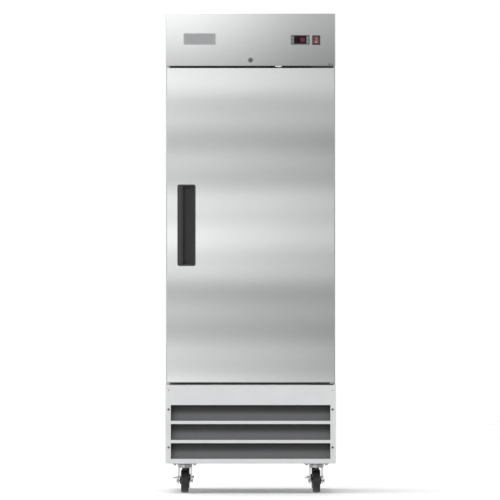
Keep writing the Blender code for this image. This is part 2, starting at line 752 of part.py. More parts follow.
def key_lock():
    """Cam lock in the header's lower edge: fixed barrel, and a plug that turns with its cam."""
    front = FACE - LOCK_PROUD
    back = front + LOCK_LENGTH
    flange = lengthwise((front, FACE - GAP), LOCK_FLANGE_RADIUS)
    barrel = lengthwise((front, back), LOCK_RADIUS)
    bore = lengthwise((front - BEYOND, back + BEYOND), LOCK_PLUG_RADIUS + GAP)
    part("lock_barrel", "chrome", [barrel, flange], [bore])

    plug_front, cam_front = front - 2 * GAP, back + 2 * GAP
    cam_back = cam_front + LOCK_CAM_THICK
    plug = lengthwise((plug_front, cam_back), LOCK_PLUG_RADIUS, 20)
    keyway = centred((0, plug_front, LOCK_Z), KEYWAY_SIZE)
    cam_z = about(LOCK_Z, LOCK_PLUG_RADIUS)
    cam_outline = rounded_rectangle((-LOCK_PLUG_RADIUS, LOCK_CAM_REACH), cam_z, 0.005)
    cam = prism("Y", cam_outline, cam_front, cam_back)
    part("lock_plug", "chrome", [plug, cam], [keyway], (0, FACE, LOCK_Z))


def door_switch():
    """Plunger switch in the header's underside: the closed door holds the plunger up."""
    x, y = middle(SWITCH_X), middle(SWITCH_Y)
    bottom = HEADER_Z - SWITCH_FLANGE
    top = bottom + SWITCH_BODY[2]
    flange = block(SWITCH_X, SWITCH_Y, (bottom, HEADER_Z - GAP))
    body = block(about(x, SWITCH_BODY[0] / 2), about(y, SWITCH_BODY[1] / 2), (bottom + GAP, top))
    bore = block(about(x, SWITCH_BORE), about(y, SWITCH_BORE), (bottom - BEYOND, top - SHEET))
    part("door_switch_housing", "white_plastic", [flange, body], [bore])
    tip = DOOR_TOP + SWITCH_TIP_GAP
    stem = upright((x, y), (tip, top - 2 * SHEET), SWITCH_RADIUS, 16)
    part("door_switch_plunger", "white_plastic", [stem], origin=(x, y, tip))


# ---- Inside the cabinet ----


def shelves():
    """Wire shelves: a rod frame under wires that run front to back."""
    for name, height in SHELF_HEIGHTS.items():
        frame_z = (height - 2 * SHELF_WIRE, height - SHELF_WIRE + GAP)
        depth = (SHELF_Y[0] + GAP, SHELF_Y[1] - GAP)
        rods = [block(both(SHELF_X), span, frame_z) for span in (
            (SHELF_Y[0], SHELF_Y[0] + SHELF_ROD),
            both(SHELF_ROD / 2),
            (SHELF_Y[1] - SHELF_ROD, SHELF_Y[1]),
        )]
        edge = SHELF_X - SHELF_ROD / 2
        rods += [block(about(side * edge, SHELF_ROD / 2 - GAP), depth, frame_z) for side in (-1, 1)]
        pitch = 2 * edge / (SHELF_WIRES + 1)
        for k in range(SHELF_WIRES):
            across = about(pitch * (k + 1) - edge, SHELF_WIRE / 2)
            rods.append(block(across, depth, (height - SHELF_WIRE, height)))
        part(name, "chrome", rods)


def interior_light():
    """Lamp strip under the lintel."""
    lamp = block(both(LIGHT_X), LIGHT_Y, (OPENING_TOP - LIGHT_DEPTH, OPENING_TOP - GAP))
    part("interior_light", "white_plastic", [lamp])


def evaporator():
    """Coil behind a fan cover that hangs from the ceiling of the evaporator bay."""
    top = CAVITY_TOP - GAP
    cover, hollow = shell(both(COVER_X), COVER_Y, (COVER_BOTTOM, top), SHEET, ("+z",))
    fan_z = middle((COVER_BOTTOM, top))
    cuts = [hollow, rod("Y", (0, COVER_Y[0], fan_z), EVAPORATOR_FAN + FAN_CLEARANCE, 2 * BEYOND, 32)]
    for row in range(RETURN_SLOTS):
        slot_y = middle(COIL_Y) + VENT_PITCH * (row - (RETURN_SLOTS - 1) / 2)
        cuts.append(centred((0, slot_y, COVER_BOTTOM), (1.8 * COIL_X, 0.012, 2 * BEYOND)))
    cuts.append(rod("Y", (LINE_X, COVER_Y[1], LINE_Z), LINE_CHASE, 2 * BEYOND))
    part("evaporator_cover", "aluminium", [cover], cuts)
    part("evaporator_coil", "aluminium", [block(both(COIL_X), COIL_Y, COIL_Z)])
    fan_set("evaporator", (0, COVER_Y[0] + SHEET + GAP, fan_z), EVAPORATOR_FAN, 2.25 * EVAPORATOR_FAN)


def fan_set(name, centre, radius, plate):
    """A square ring with a motor on two straps behind it, and the fan between them. It blows along Y."""
    x, y, z = centre
    hub_y = (y + 0.012, y + 0.040)
    motor_y = (y + 0.050, y + 0.090)
    strap = 0.002
    edge = plate / 2
    frame = [centred((x, y + SHEET / 2, z), (plate, SHEET, plate))]
    for side in (-1, 1):
        strap_x = about(x + side * (edge - strap), strap / 2)
        frame.append(block(strap_x, (y + GAP, motor_y[1]), about(z, FAN_STRAP / 2)))
    crossbar = (motor_y[1] - strap, motor_y[1] - GAP)
    frame.append(block(about(x, edge - strap), crossbar, about(z, FAN_STRAP / 2 - GAP)))
    frame.append(rod("Y", (x, middle(motor_y), z), MOTOR_RADIUS, motor_y[1] - motor_y[0] + GAP, 24))
    shaft = (hub_y[0] + strap, motor_y[0] + strap)
    frame.append(rod("Y", (x, middle(shaft), z), SHAFT_RADIUS, shaft[1] - shaft[0], 12))
    hole = rod("Y", (x, y, z), radius + FAN_CLEARANCE, BEYOND, 32)
    part(name + "_fan_motor", "black_paint", frame, [hole])

    hub_centre = (x, middle(hub_y), z)
    hub = rod("Y", hub_centre, radius * 0.26, hub_y[1] - hub_y[0])
    blades = []
    for k in range(FAN_BLADES):
        size = (radius * 0.76, FAN_BLADE_THICK, radius * 0.44)
        blade = centred((x + radius * 0.60, hub_centre[1], z), size)
        tilted(blade, hub_centre, "X", FAN_PITCH)
        blades.append(tilted(blade, hub_centre, "Y", 2 * math.pi * k / FAN_BLADES))
    bore = rod("Y", hub_centre, SHAFT_RADIUS + 2 * GAP, 4 * BEYOND, 12)
    part(name + "_fan", "black_plastic", [hub, *blades], [bore], hub_centre)


# ---- Machine compartment ----


def condenser():
    part("condenser_coil", "aluminium", [block(CONDENSER_X, CONDENSER_Y, CONDENSER_Z)])
    centre = (middle(CONDENSER_X), CONDENSER_Y[1] + GAP, middle(CONDENSER_Z))
    fan_set("condenser", centre, CONDENSER_FAN, CONDENSER_Z[1] - CONDENSER_Z[0])


def compressor():
    """Hermetic can on a foot plate, with its terminal box and its discharge line to the condenser."""
    x, y = COMPRESSOR
    foot = BASE_Z + PAN_SHEET + GAP
    waist = 0.100
    profile = [(0.060, 0.004), (0.088, 0.020), (0.094, 0.045), (0.094, waist - 0.002)]
    profile += [(0.099, waist), (0.099, waist + 0.006), (0.093, waist + 0.008)]
    profile += [(0.091, 0.150), (0.078, 0.185), (0.050, 0.205), (0.018, 0.212), (0, 0.213)]
    can = turned("Z", (x, y, foot), profile, 28)
    plate = block(about(x, COMPRESSOR_FEET[0]), about(y, COMPRESSOR_FEET[1]), (foot, foot + 0.006))
    terminals = block((x + 0.080, x + 0.112), about(y, 0.030), (foot + 0.060, foot + 0.130))
    level = foot + DISCHARGE_HEIGHT
    column = middle((CONDENSER_X[1], x)) - 0.025
    aisle = x - 0.150
    route = [(x - 0.070, y), (aisle, y), (aisle, DRIER_Y + 0.090), (column, DRIER_Y + 0.090)]
    route += [(column, middle(CONDENSER_Y)), (CONDENSER_X[1] + GAP, middle(CONDENSER_Y))]
    line = pipe(rounded([(*point, level) for point in route], 0.015), 0.004)
    part("compressor", "black_paint", [can, plate, terminals, line])


def refrigerant_lines():
    """Suction line up the back wall to the evaporator, with the filter drier and capillary brazed to it."""
    x, y = COMPRESSOR
    stub = BASE_Z + 0.20
    start = (x, y + 0.0925, stub)
    foot = (LINE_X, LINE_Y, stub + 0.08)
    coil_y = middle(COIL_Y)
    route = [start, (x, LINE_Y, stub), foot, (LINE_X, LINE_Y, LINE_Z)]
    route += [(LINE_X, coil_y, LINE_Z), (COIL_X + GAP, coil_y, LINE_Z)]
    suction = pipe(rounded(route, LINE_BEND), LINE_RADIUS)

    level = CONDENSER_Z[0] + 0.040
    drier_x = (0.135, 0.225)
    drier = rod("X", (middle(drier_x), DRIER_Y, level), 0.012, drier_x[1] - drier_x[0], 16)
    outlet = middle(CONDENSER_Y)
    column = CONDENSER_X[1] + 0.040
    feed = [(CONDENSER_X[1] + GAP, outlet), (column, outlet)]
    feed += [(column, DRIER_Y), (drier_x[0] + BEYOND, DRIER_Y)]
    aisle = CAVITY_X + 0.020
    rise = [(drier_x[1] - BEYOND, DRIER_Y), (aisle, DRIER_Y), (aisle, LINE_Y), (LINE_X, LINE_Y)]
    capillary = [(*point, level) for point in rise] + [(LINE_X, LINE_Y, foot[2] + 3 * BEYOND)]
    tubes = [pipe(rounded(points, LINE_BEND), CAPILLARY_RADIUS) for points in (
        [(*point, level) for point in feed],
        capillary,
    )]
    part("refrigerant_lines", "copper", [suction, drier, *tubes])


def condensate_pan():
    """Tray on the base where the evaporator's meltwater evaporates."""
    tray, hollow = shell(TRAY_X, TRAY_Y, (BASE_Z + PAN_SHEET + GAP, TRAY_TOP), PAN_SHEET, ("+z",))
    part("condensate_pan", "galvanised", [tray], [hollow])


# ---- Casters ----


def caster(end, side):
    """A swivel caster: plate with race, fork, axle bolt and wheel, and a brake lever on the front pair."""
    corner = f"{end}_{side}"
    x, y = CASTER_SIDES[side] * CASTER_X, CASTER_YS[end]
    axle = (x, y + CASTER_TRAIL, WHEEL_RADIUS)
    caster_plate(corner, x, y)
    caster_fork(corner, (x, y), axle)
    caster_wheel(corner, axle)
    if end == "front":
        brake_lever(side, y, axle)


def caster_plate(corner, x, y):
    top = BASE_Z - GAP
    wide, deep, thick = CASTER_PLATE
    plate = block(about(x, wide / 2), about(y, deep / 2), (top - thick, top))
    race = upright((x, y), (RACE_BOTTOM, top - thick / 2), RACE_RADIUS, 28)
    part(f"caster_plate_{corner}", "zinc", [plate, race])


def caster_fork(corner, swivel, axle):
    """Crown and bridge with two tapering legs, and the bolt through their feet."""
    x, y = swivel
    crown = upright(swivel, (FORK_TOP - FORK_SHEET, FORK_TOP), RACE_RADIUS - 2 * GAP, 28)
    shoulder = FORK_TOP - FORK_SHEET / 2
    across = about(x, FORK_OUTER - GAP)
    bridge = block(across, about(y, FORK_HALF_DEPTH - GAP), (shoulder - FORK_SHEET, shoulder - GAP))
    legs = []
    for way in (-1, 1):
        outline = [(y - FORK_HALF_DEPTH, shoulder), (y - FORK_HALF_DEPTH, shoulder - FORK_SHOULDER)]
        for k in range(9):
            angle = math.radians(200 + 20 * k)
            outline.append((axle[1] + FORK_FOOT * math.cos(angle), axle[2] + FORK_FOOT * math.sin(angle)))
        outline.append((axle[1] + FORK_FOOT / 2, shoulder - FORK_SHOULDER))
        outline.append((y + FORK_HALF_DEPTH, shoulder))
        faces = sorted((x + way * FORK_OUTER, x + way * (FORK_OUTER - FORK_SHEET)))
        legs.append(prism("X", outline, *faces))
    hole = rod("X", axle, AXLE_RADIUS + GAP, 4 * FORK_OUTER)
    part(f"caster_fork_{corner}", "zinc", [crown, bridge, *legs], [hole], (x, y, RACE_BOTTOM))

    half = FORK_OUTER + AXLE_OVERHANG
    bolt = [rod("X", axle, AXLE_RADIUS, 2 * half)]
    for way in (-1, 1):
        head = (x + way * (half + HEX_THICK / 2 - GAP), axle[1], axle[2])
        bolt.append(rod("X", head, HEX_RADIUS, HEX_THICK, 6))
    part(f"caster_axle_{corner}", "zinc", bolt, origin=axle)


def caster_wheel(corner, axle):
    half = WHEEL_WIDTH / 2
    hub = FORK_OUTER - FORK_SHEET - HUB_CLEARANCE
    profile = [(0.0125, -hub), (0.016, -half - 0.001), (0.034, -half + 0.004), (0.040, -half)]
    profile += [(WHEEL_RADIUS - 0.006, -half), (WHEEL_RADIUS, -half + 0.007)]
    profile += [(radius, -height) for radius, height in reversed(profile)]
    wheel = turned("X", axle, profile, 32)
    bore = rod("X", axle, AXLE_RADIUS + 2 * GAP, 4 * FORK_OUTER)
    part(f"caster_wheel_{corner}", "black_rubber", [wheel], [bore], axle)


def brake_lever(side, swivel_y, axle):
    """A lever that turns on the axle bolt, outside the fork's left leg, with a pedal at its end."""
    near = axle[0] - FORK_OUTER - GAP
    plate_x = (near - BRAKE_SHEET, near)
    eye = rod("X", (middle(plate_x), axle[1], axle[2]), BRAKE_EYE, BRAKE_SHEET)
    pedal_y = (swivel_y - 0.012, swivel_y + 0.016)
    web_outline = [(axle[1] - BRAKE_EYE, axle[2]), (axle[1] + BRAKE_EYE, axle[2])]
    low, high = BRAKE_PEDAL_Z
    web_outline += [(pedal_y[1], high), (pedal_y[0], high), (pedal_y[0], low)]
    web = prism("X", web_outline, *plate_x)
    pedal = block((near - BRAKE_PEDAL_REACH, near - GAP), (pedal_y[0] + GAP, pedal_y[1]), BRAKE_PEDAL_Z)
    clearance = rod("X", axle, AXLE_RADIUS + GAP, 4 * FORK_OUTER)
    part(f"brake_lever_{side}", "zinc", [eye, web, pedal], [clearance], axle)


def main():
    for obj in list(bpy.data.objects):
        bpy.data.objects.remove(obj)
    outer_casing()
    foam_insulation()
    inner_liner()
    base_frame()
    header_panel()
    grille_panel()
    louver_insert()
    rear_grille()
    power_inlet()
    door()
    hinges()
    controller()
    rocker_switch()
    key_lock()
    door_switch()
    shelves()
    interior_light()
    evaporator()
    condenser()
    compressor()
    refrigerant_lines()
    condensate_pan()
    for end in CASTER_YS:
        for side in CASTER_SIDES:
            caster(end, side)


main()
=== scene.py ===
"""Looks of a single-door reach-in refrigerator on casters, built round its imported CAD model.

Metres, +Z up, in the CAD's own frame: the door faces -Y and is hinged on the +X side. Sheet panels, wire
shelves, coils, fans, gasket, compressor and wheels get finer meshes that stand for their CAD solids. The rest
of the solids stay, and get rounded edges and a finish of their own. Every material is made of nodes.
"""

import json
import math

import bmesh
import bpy
from mathutils import Matrix, Vector


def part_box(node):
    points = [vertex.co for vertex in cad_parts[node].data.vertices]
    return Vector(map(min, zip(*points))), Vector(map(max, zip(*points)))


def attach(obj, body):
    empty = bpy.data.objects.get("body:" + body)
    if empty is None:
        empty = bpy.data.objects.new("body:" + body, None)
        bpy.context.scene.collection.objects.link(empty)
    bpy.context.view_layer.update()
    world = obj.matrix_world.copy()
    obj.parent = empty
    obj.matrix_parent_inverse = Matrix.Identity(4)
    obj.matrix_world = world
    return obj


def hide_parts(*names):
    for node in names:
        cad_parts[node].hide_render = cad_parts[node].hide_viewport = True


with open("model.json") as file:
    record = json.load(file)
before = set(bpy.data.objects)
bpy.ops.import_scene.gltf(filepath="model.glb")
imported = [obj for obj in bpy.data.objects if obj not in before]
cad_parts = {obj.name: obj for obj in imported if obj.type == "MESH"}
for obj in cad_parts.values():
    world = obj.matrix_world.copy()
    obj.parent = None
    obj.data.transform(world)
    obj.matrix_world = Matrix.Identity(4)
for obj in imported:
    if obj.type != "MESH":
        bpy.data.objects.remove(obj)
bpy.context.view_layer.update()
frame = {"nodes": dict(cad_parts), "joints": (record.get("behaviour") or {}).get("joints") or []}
NODES = frame["nodes"]

# Camera, level and square to the door
VIEW_WIDTH = 2.1715
VIEW_HEIGHT_ABOVE_FLOOR = 1.0575
VIEW_ASIDE = -0.0026
CAMERA_DISTANCE = 36.0
SENSOR = 36.0

# Studio: reflected levels by elevation in degrees, and their balance from left (-1) to right (1)
RAMP_TOP = 2.0
LEVEL_BANDS = (
    (-90, 0.9), (-45, 0.95), (-36, 0.55), (-31, 0.62), (-27, 1.05), (-22, 0.5), (-17, 0.9), (-12, 0.6),
    (-8, 0.5), (-4, 0.66), (0, 0.98), (4, 1.34), (8, 1.5), (13, 1.2), (20, 0.9), (35, 0.95), (90, 1.35),
)
SIDE_BANDS = (
    (-1.0, 1.0), (-0.5, 1.25), (-0.3, 1.62), (-0.1, 1.42), (0.0, 1.0), (0.1, 0.58), (0.3, 0.3), (0.6, 0.9),
    (1.0, 1.0),
)

# Sheet metal and clearances
SHEET = 0.0015
EDGE_ROUND = 0.0026
DOOR_ROUND = 0.0032
CASE_RETURN = 0.022
GAP = 0.0003
BEYOND = 0.01
GASKET_WIDTH = 0.026

# Half width and heights of the grille panel's three openings
OPENING_X = 0.347
OPENINGS = ((0.15, 0.219), (0.232, 0.302), (0.315, 0.3845))

# Waves in the door's sheet: amplitude, pitch and a height where each one starts
DOOR_WAVES = ((0.0036, 0.75, 0.742), (0.00022, 0.165, 0.7))

# Shelf standards
STANDARD_PITCH = 0.0254
STANDARD_HALF = 0.012
STANDARD_YS = (-0.25, 0.27)

SIDES = (-1, 1)
CORNERS = [f"{end}_{side}" for end in ("front", "rear") for side in ("left", "right")]
BUTTONS = [(level, side) for level in ("lower", "upper") for side in ("left", "right")]
SHELVES = ("shelf_lower", "shelf_middle", "shelf_upper")


# ---- Ranges and outlines ----


def spans(node):
    """A CAD node's ranges along X, Y and Z."""
    low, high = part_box(node)
    return tuple(zip(low, high))


def both(half):
    return (-half, half)


def about(value, half):
    return (value - half, value + half)


def sided(side, near, far):
    """A range on the left (-1) or the right (1) of the middle."""
    return sorted((side * near, side * far))


def middle(span):
    return sum(span) / 2


def shrunk(span, by):
    return (span[0] + by, span[1] - by)


def evenly(span, count):
    """Values spread over a range, with both its ends."""
    return [span[0] + (span[1] - span[0]) * k / (count - 1) for k in range(count)]


def arc(centre, radii, start, end, steps):
    """Points on an ellipse from one angle in degrees to another."""
    turns = [math.radians(angle) for angle in evenly((start, end), steps + 1)]
    return [(centre[0] + radii[0] * math.cos(t), centre[1] + radii[1] * math.sin(t)) for t in turns]


def circle(radius, height, sides):
    """Points round the Z axis, or one point on it."""
    turns = [2 * math.pi * k / sides for k in range(sides if radius > 0 else 1)]
    return [Vector((radius * math.cos(t), radius * math.sin(t), height)) for t in turns]


def mm(*points):
    """A profile written in millimetres."""
    return [(first / 1000, second / 1000) for first, second in points]


def mirrored(profile):
    """Half a turned profile with its mirror image after it."""
    return profile + [(radius, -height) for radius, height in reversed(profile)]


def rounded_rectangle(x, z, radius, steps=5):
    """The outline of a rectangle with round corners."""
    (left, right), (low, high) = shrunk(x, radius), shrunk(z, radius)
    outline = []
    for quarter, corner in enumerate(((right, high), (left, high), (left, low), (right, low))):
        outline += arc(corner, (radius, radius), 90 * quarter, 90 * (quarter + 1), steps)
    return outline


def rounded(points, radius, steps=4):
    """A route's points with each inner corner turned into an arc of this radius."""
    route = [Vector(points[0])]
    for before, corner, after in zip(points, points[1:], points[2:]):
        corner = Vector(corner)
        back = (Vector(before) - corner).normalized()
        ahead = (Vector(after) - corner).normalized()
        half = back.angle(ahead) / 2
        reach = radius / math.tan(half)
        centre = corner + (back + ahead).normalized() * radius / math.sin(half)
        start = (corner + back * reach - centre).normalized()
        end = (corner + ahead * reach - centre).normalized()
        route += [centre + start.slerp(end, k / steps) * radius for k in range(steps + 1)]
    return route + [Vector(points[-1])]


# ---- Shapes, added to a bmesh in world coordinates ----


TURN = {
    "X": Matrix.Rotation(math.pi / 2, 4, "Y"),
    "Y": Matrix.Rotation(-math.pi / 2, 4, "X"),
    "Z": Matrix.Identity(4),
}


def loft(shape, rings, looped=False):
    """Faces from ring to ring of points, and its two end faces unless the last ring joins the first."""
    rings = [[shape.verts.new(point) for point in ring] for ring in rings]
    for lower, upper in zip(rings, rings[1:] + rings[:looped]):
        for k in range(max(len(lower), len(upper))):
            corners = [lower[k % len(lower)], lower[(k + 1) % len(lower)]]
            corners += [upper[(k + 1) % len(upper)], upper[k % len(upper)]]
            shape.faces.new(list(dict.fromkeys(corners)))
    if looped:
        return []
    return [shape.faces.new(ring) for ring in (rings[0][::-1], rings[-1]) if len(ring) > 2]


def add_block(shape, x, y, z, radius=0.0, segments=2):
    """A box between the two values of each axis, its edges rounded where it has a radius."""
    made = bmesh.ops.create_cube(shape, size=1.0)["verts"]
    low, high = (Vector(corner) for corner in zip(x, y, z))
    bmesh.ops.scale(shape, vec=high - low, verts=made)
    bmesh.ops.translate(shape, vec=(low + high) / 2, verts=made)
    if radius:
        edges = list({edge for vert in made for edge in vert.link_edges})
        bmesh.ops.bevel(shape, geom=edges, offset=radius, segments=segments, profile=0.5, affect="EDGES")


def add_turned(shape, axis, centre, profile, sides=32, looped=False):
    """A solid of revolution about an axis, from a profile of (radius, height) points."""
    place = Matrix.Translation(centre) @ TURN[axis]
    rings = [circle(radius, height, sides) for radius, height in profile]
    loft(shape, [[place @ point for point in ring] for ring in rings], looped)


def add_rod(shape, axis, centre, radius, length, sides=24, edge=None):
    """A cylinder along an axis with chamfered ends."""
    edge = 0.15 * min(radius, length) if edge is None else edge
    half = length / 2
    profile = [(radius - edge, -half), (radius, edge - half), (radius, half - edge), (radius - edge, half)]
    add_turned(shape, axis, centre, profile, sides)


def add_tube(shape, points, radius, sides=8, closed=False):
    """A round tube along a route, with flat ends unless it is closed."""
    points = [Vector(point) for point in points]
    normal = None
    rings = []
    for k, point in enumerate(points):
        before = points[k - 1] if k or closed else point
        after = points[(k + 1) % len(points)] if k < len(points) - 1 or closed else point
        ahead = (after - before).normalized()
        if normal is None:
            normal = ahead.orthogonal()
        normal = (normal - ahead * normal.dot(ahead)).normalized()
        across = ahead.cross(normal)
        rings.append([point + normal * step.x + across * step.y for step in circle(radius, 0, sides)])
    loft(shape, rings, closed)


def add_ring(shape, centre, radius, thick, sides):
    """A round wire bent into a circle that faces -Y."""
    place = Matrix.Translation(centre) @ TURN["Y"]
    add_tube(shape, [place @ point for point in circle(radius, 0, sides)], thick, 6, closed=True)


def add_prism(shape, axis, outline, start, end, radius=0.0):
    """An outline extruded along an axis; its two numbers are the other axes in the order X, Y, Z."""
    along = "XYZ".index(axis)
    rings = [[(*point[:along], level, *point[along:]) for point in outline] for level in (start, end)]
    ends = loft(shape, rings)
    if radius:
        edges = [edge for face in ends for edge in face.edges]
        bmesh.ops.bevel(shape, geom=edges, offset=radius, segments=2, profile=0.5, affect="EDGES")


def add_frame(shape, x, z, base, profile):
    """A profile of (inset, depth past the base) swept round a rectangle that faces -Y."""
    rings = []
    for inset, depth in profile:
        (left, right), (low, high) = shrunk(x, inset), shrunk(z, inset)
        corners = ((left, low), (right, low), (right, high), (left, high))
        rings.append([(corner[0], base + depth, corner[1]) for corner in corners])
    loft(shape, rings, looped=True)


def stamp(shape, mesh, place):
    """A copy of a finished mesh, put in place."""
    start = len(shape.verts)
    shape.from_mesh(mesh)
    shape.verts.ensure_lookup_table()
    bmesh.ops.transform(shape, matrix=place, verts=shape.verts[start:])


def block(x, y, z, radius=0.0, segments=2):
    shape = bmesh.new()
    add_block(shape, x, y, z, radius, segments)
    return shape


def cut_rod(axis, centre, radius, length):
    shape = bmesh.new()
    add_rod(shape, axis, centre, radius, length, 32, 0)
    return shape


# ---- Pieces ----


def mesh_of(shape, name):
    bmesh.ops.recalc_face_normals(shape, faces=shape.faces)
    mesh = bpy.data.meshes.new(name)
    shape.to_mesh(mesh)
    shape.free()
    return mesh


def placed(name, data):
    """A new object in the scene."""
    obj = bpy.data.objects.new(name, data)
    bpy.context.scene.collection.objects.link(obj)
    return obj


def carved(solid, cutters, name):
    """The solid with the cutters taken away, as a new bmesh."""
    base = placed(name, mesh_of(solid, name))
    helpers = []
    for cutter in cutters:
        helper = placed("cutter", mesh_of(cutter, "cutter"))
        helpers.append(helper)
        boolean = base.modifiers.new("cut", "BOOLEAN")
        boolean.object = helper
        boolean.solver = "EXACT"
    bpy.context.view_layer.update()
    mesh = bpy.data.meshes.new_from_object(base.evaluated_get(bpy.context.evaluated_depsgraph_get()))
    for obj in (base, *helpers):
        old = obj.data
        bpy.data.objects.remove(obj)
        bpy.data.meshes.remove(old)
    shape = bmesh.new()
    shape.from_mesh(mesh)
    bpy.data.meshes.remove(mesh)
    return shape


def piece(name, shape, look, body="cabinet", replaces=(), crease=40):
    """A finished piece: its mesh, look and body, and the CAD nodes that it stands for."""
    obj = placed(name, mesh_of(shape, name))
    slot, material = LOOKS[look]
    obj.data.materials.append(material)
    obj.data.shade_smooth()
    obj.data.set_sharp_from_angle(angle=math.radians(crease))
    weighted = obj.modifiers.new("flat faces", "WEIGHTED_NORMAL")
    weighted.keep_sharp = True
    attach(obj, body)
    if replaces:
        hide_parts(*replaces)


def finish_node(node, look, edge=0.0, crease=42):
    """A CAD node that stays: its facets joined, its sharp edges rounded, and its look."""
    obj = NODES[node]
    obj.data.materials.clear()
    obj.data.materials.append(LOOKS[look][1])
    normals = obj.data.attributes.get("custom_normal")
    if normals:
        obj.data.attributes.remove(normals)
    obj.data.shade_smooth()
    weld = obj.modifiers.new("join facets", "WELD")
    weld.merge_threshold = 1e-6
    if edge:
        bevel = obj.modifiers.new("rounded edges", "BEVEL")
        bevel.width = edge
        bevel.segments = 2
        bevel.limit_method = "ANGLE"
        bevel.angle_limit = math.radians(crease)
        bevel.harden_normals = True
    split = obj.modifiers.new("creases", "EDGE_SPLIT")
    split.split_angle = math.radians(crease)
    split.use_edge_sharp = False


# ---- Materials ----


# A noise's stretch and kinds, and the part of its range where most of its values lie
EVEN = (1, 1, 1)
NOISE = "TexNoise"
CELLS = "TexVoronoi"
MOST = (0.3, 0.7)


def times(colour, factor, more=0.0):
    return tuple(channel * factor + more for channel in colour)


class Nodes:
    """The node tree of a material or world under construction."""

    def __init__(self, owner):
        owner.use_nodes = True
        self.tree = owner.node_tree

    def feed(self, node, inputs):
        """A node's inputs set to numbers, or linked to the outputs of other nodes."""
        for socket, value in inputs.items():
            if isinstance(value, bpy.types.NodeSocket):
                self.tree.links.new(value, node.inputs[socket])
            else:
                node.inputs[socket].default_value = value

    def node(self, kind, inputs=None, **settings):
        made = self.tree.nodes.new(f"ShaderNode{kind}")
        for setting, value in settings.items():
            setattr(made, setting, value)
        self.feed(made, inputs or {})
        return made

    def split(self, vector):
        return self.node("SeparateXYZ", {"Vector": vector}).outputs

    def between(self, value, low, high, source=MOST):
        """A value mapped from one range to another."""
        inputs = {"Value": value, "From Min": source[0], "From Max": source[1], "To Min": low, "To Max": high}
        return self.node("MapRange", inputs).outputs["Result"]

    def math(self, operation, first, second=0.0):
        return self.node("Math", {0: first, 1: second}, operation=operation).outputs[0]

    def weighed(self, first, second, share):
        """Two values added up, the first one by its share."""
        other = self.math("MULTIPLY", second, 1 - share)
        return self.math("ADD", self.math("MULTIPLY", first, share), other)


class Finish(Nodes):
    """A Principled material under construction, with its noises in object coordinates."""

    def __init__(self, name, colour, roughness, metallic=0.0):
        self.material = bpy.data.materials.new(name)
        super().__init__(self.material)
        self.shader = self.tree.nodes["Principled BSDF"]
        self.colour = (*colour, 1)
        self.tinted = None
        self.noises = {}
        self.set({"Base Color": self.colour, "Roughness": roughness, "Metallic": metallic})
        self.coordinates = self.node("TexCoord").outputs["Object"]

    def set(self, inputs):
        self.feed(self.shader, inputs)

    def noise(self, scale, detail=3.0, stretch=EVEN, kind=NOISE):
        """The value of a noise or cell texture, made once for the same numbers."""
        key = (scale, detail, stretch, kind)
        if key not in self.noises:
            mapping = self.node("Mapping", {"Scale": stretch, "Vector": self.coordinates})
            inputs = {"Scale": scale, "Vector": mapping.outputs["Vector"]}
            if kind == NOISE:
                inputs["Detail"] = detail
            self.noises[key] = self.node(kind, inputs).outputs["Fac" if kind == NOISE else "Color"]
        return self.noises[key]

    def across_grain(self):
        """A tangent that lies level on upright faces, and runs front to back on level ones."""
        upward = self.split(self.node("NewGeometry").outputs["True Normal"])["Z"]
        inputs = {"Factor": self.math("GREATER_THAN", self.math("ABSOLUTE", upward), 0.7)}
        for axis, slot in (("Z", 4), ("X", 5)):
            inputs[slot] = self.node("Tangent", direction_type="RADIAL", axis=axis).outputs["Tangent"]
        self.set({"Tangent": self.node("Mix", inputs, data_type="VECTOR").outputs[1]})

    def bowed(self, middle_z, crown_x, crown_z, waves):
        """Height of a sheet bowed outward in both ways, with slow waves up its face."""
        parts = self.split(self.coordinates)
        x, z = parts["X"], parts["Z"]
        rise = self.math("SUBTRACT", z, middle_z)
        bulge_x = self.math("MULTIPLY", self.math("MULTIPLY", x, x), -crown_x)
        bulge_z = self.math("MULTIPLY", self.math("MULTIPLY", rise, rise), -crown_z)
        height = self.math("ADD", bulge_x, bulge_z)
        drift = self.math("MULTIPLY", self.math("SUBTRACT", self.noise(1.6, 1.0, (0.5, 1, 1)), 0.57), 1.6)
        for tall, pitch, start in waves:
            turns = self.math("MULTIPLY", self.math("SUBTRACT", z, start), 2 * math.pi / pitch)
            wave = self.math("SINE", self.math("ADD", turns, drift))
            height = self.math("ADD", height, self.math("MULTIPLY", wave, tall))
        return height

    def tint(self, value, other, source=MOST):
        """The base colour, as tinted so far, mixed towards another colour by a value."""
        share = self.between(value, 0.0, 1.0, source)
        inputs = {"A": self.tinted or self.colour, "B": (*other, 1), "Factor": share}
        self.tinted = self.node("Mix", inputs, data_type="RGBA").outputs["Result"]
        self.set({"Base Color": self.tinted})

    def dull(self, value, low, high, source=MOST):
        """Roughness that follows a value."""
        self.set({"Roughness": self.between(value, low, high, source)})

    def bump(self, value, height, strength):
        inputs = {"Strength": strength, "Distance": height, "Height": value}
        self.set({"Normal": self.node("Bump", inputs).outputs["Normal"]})


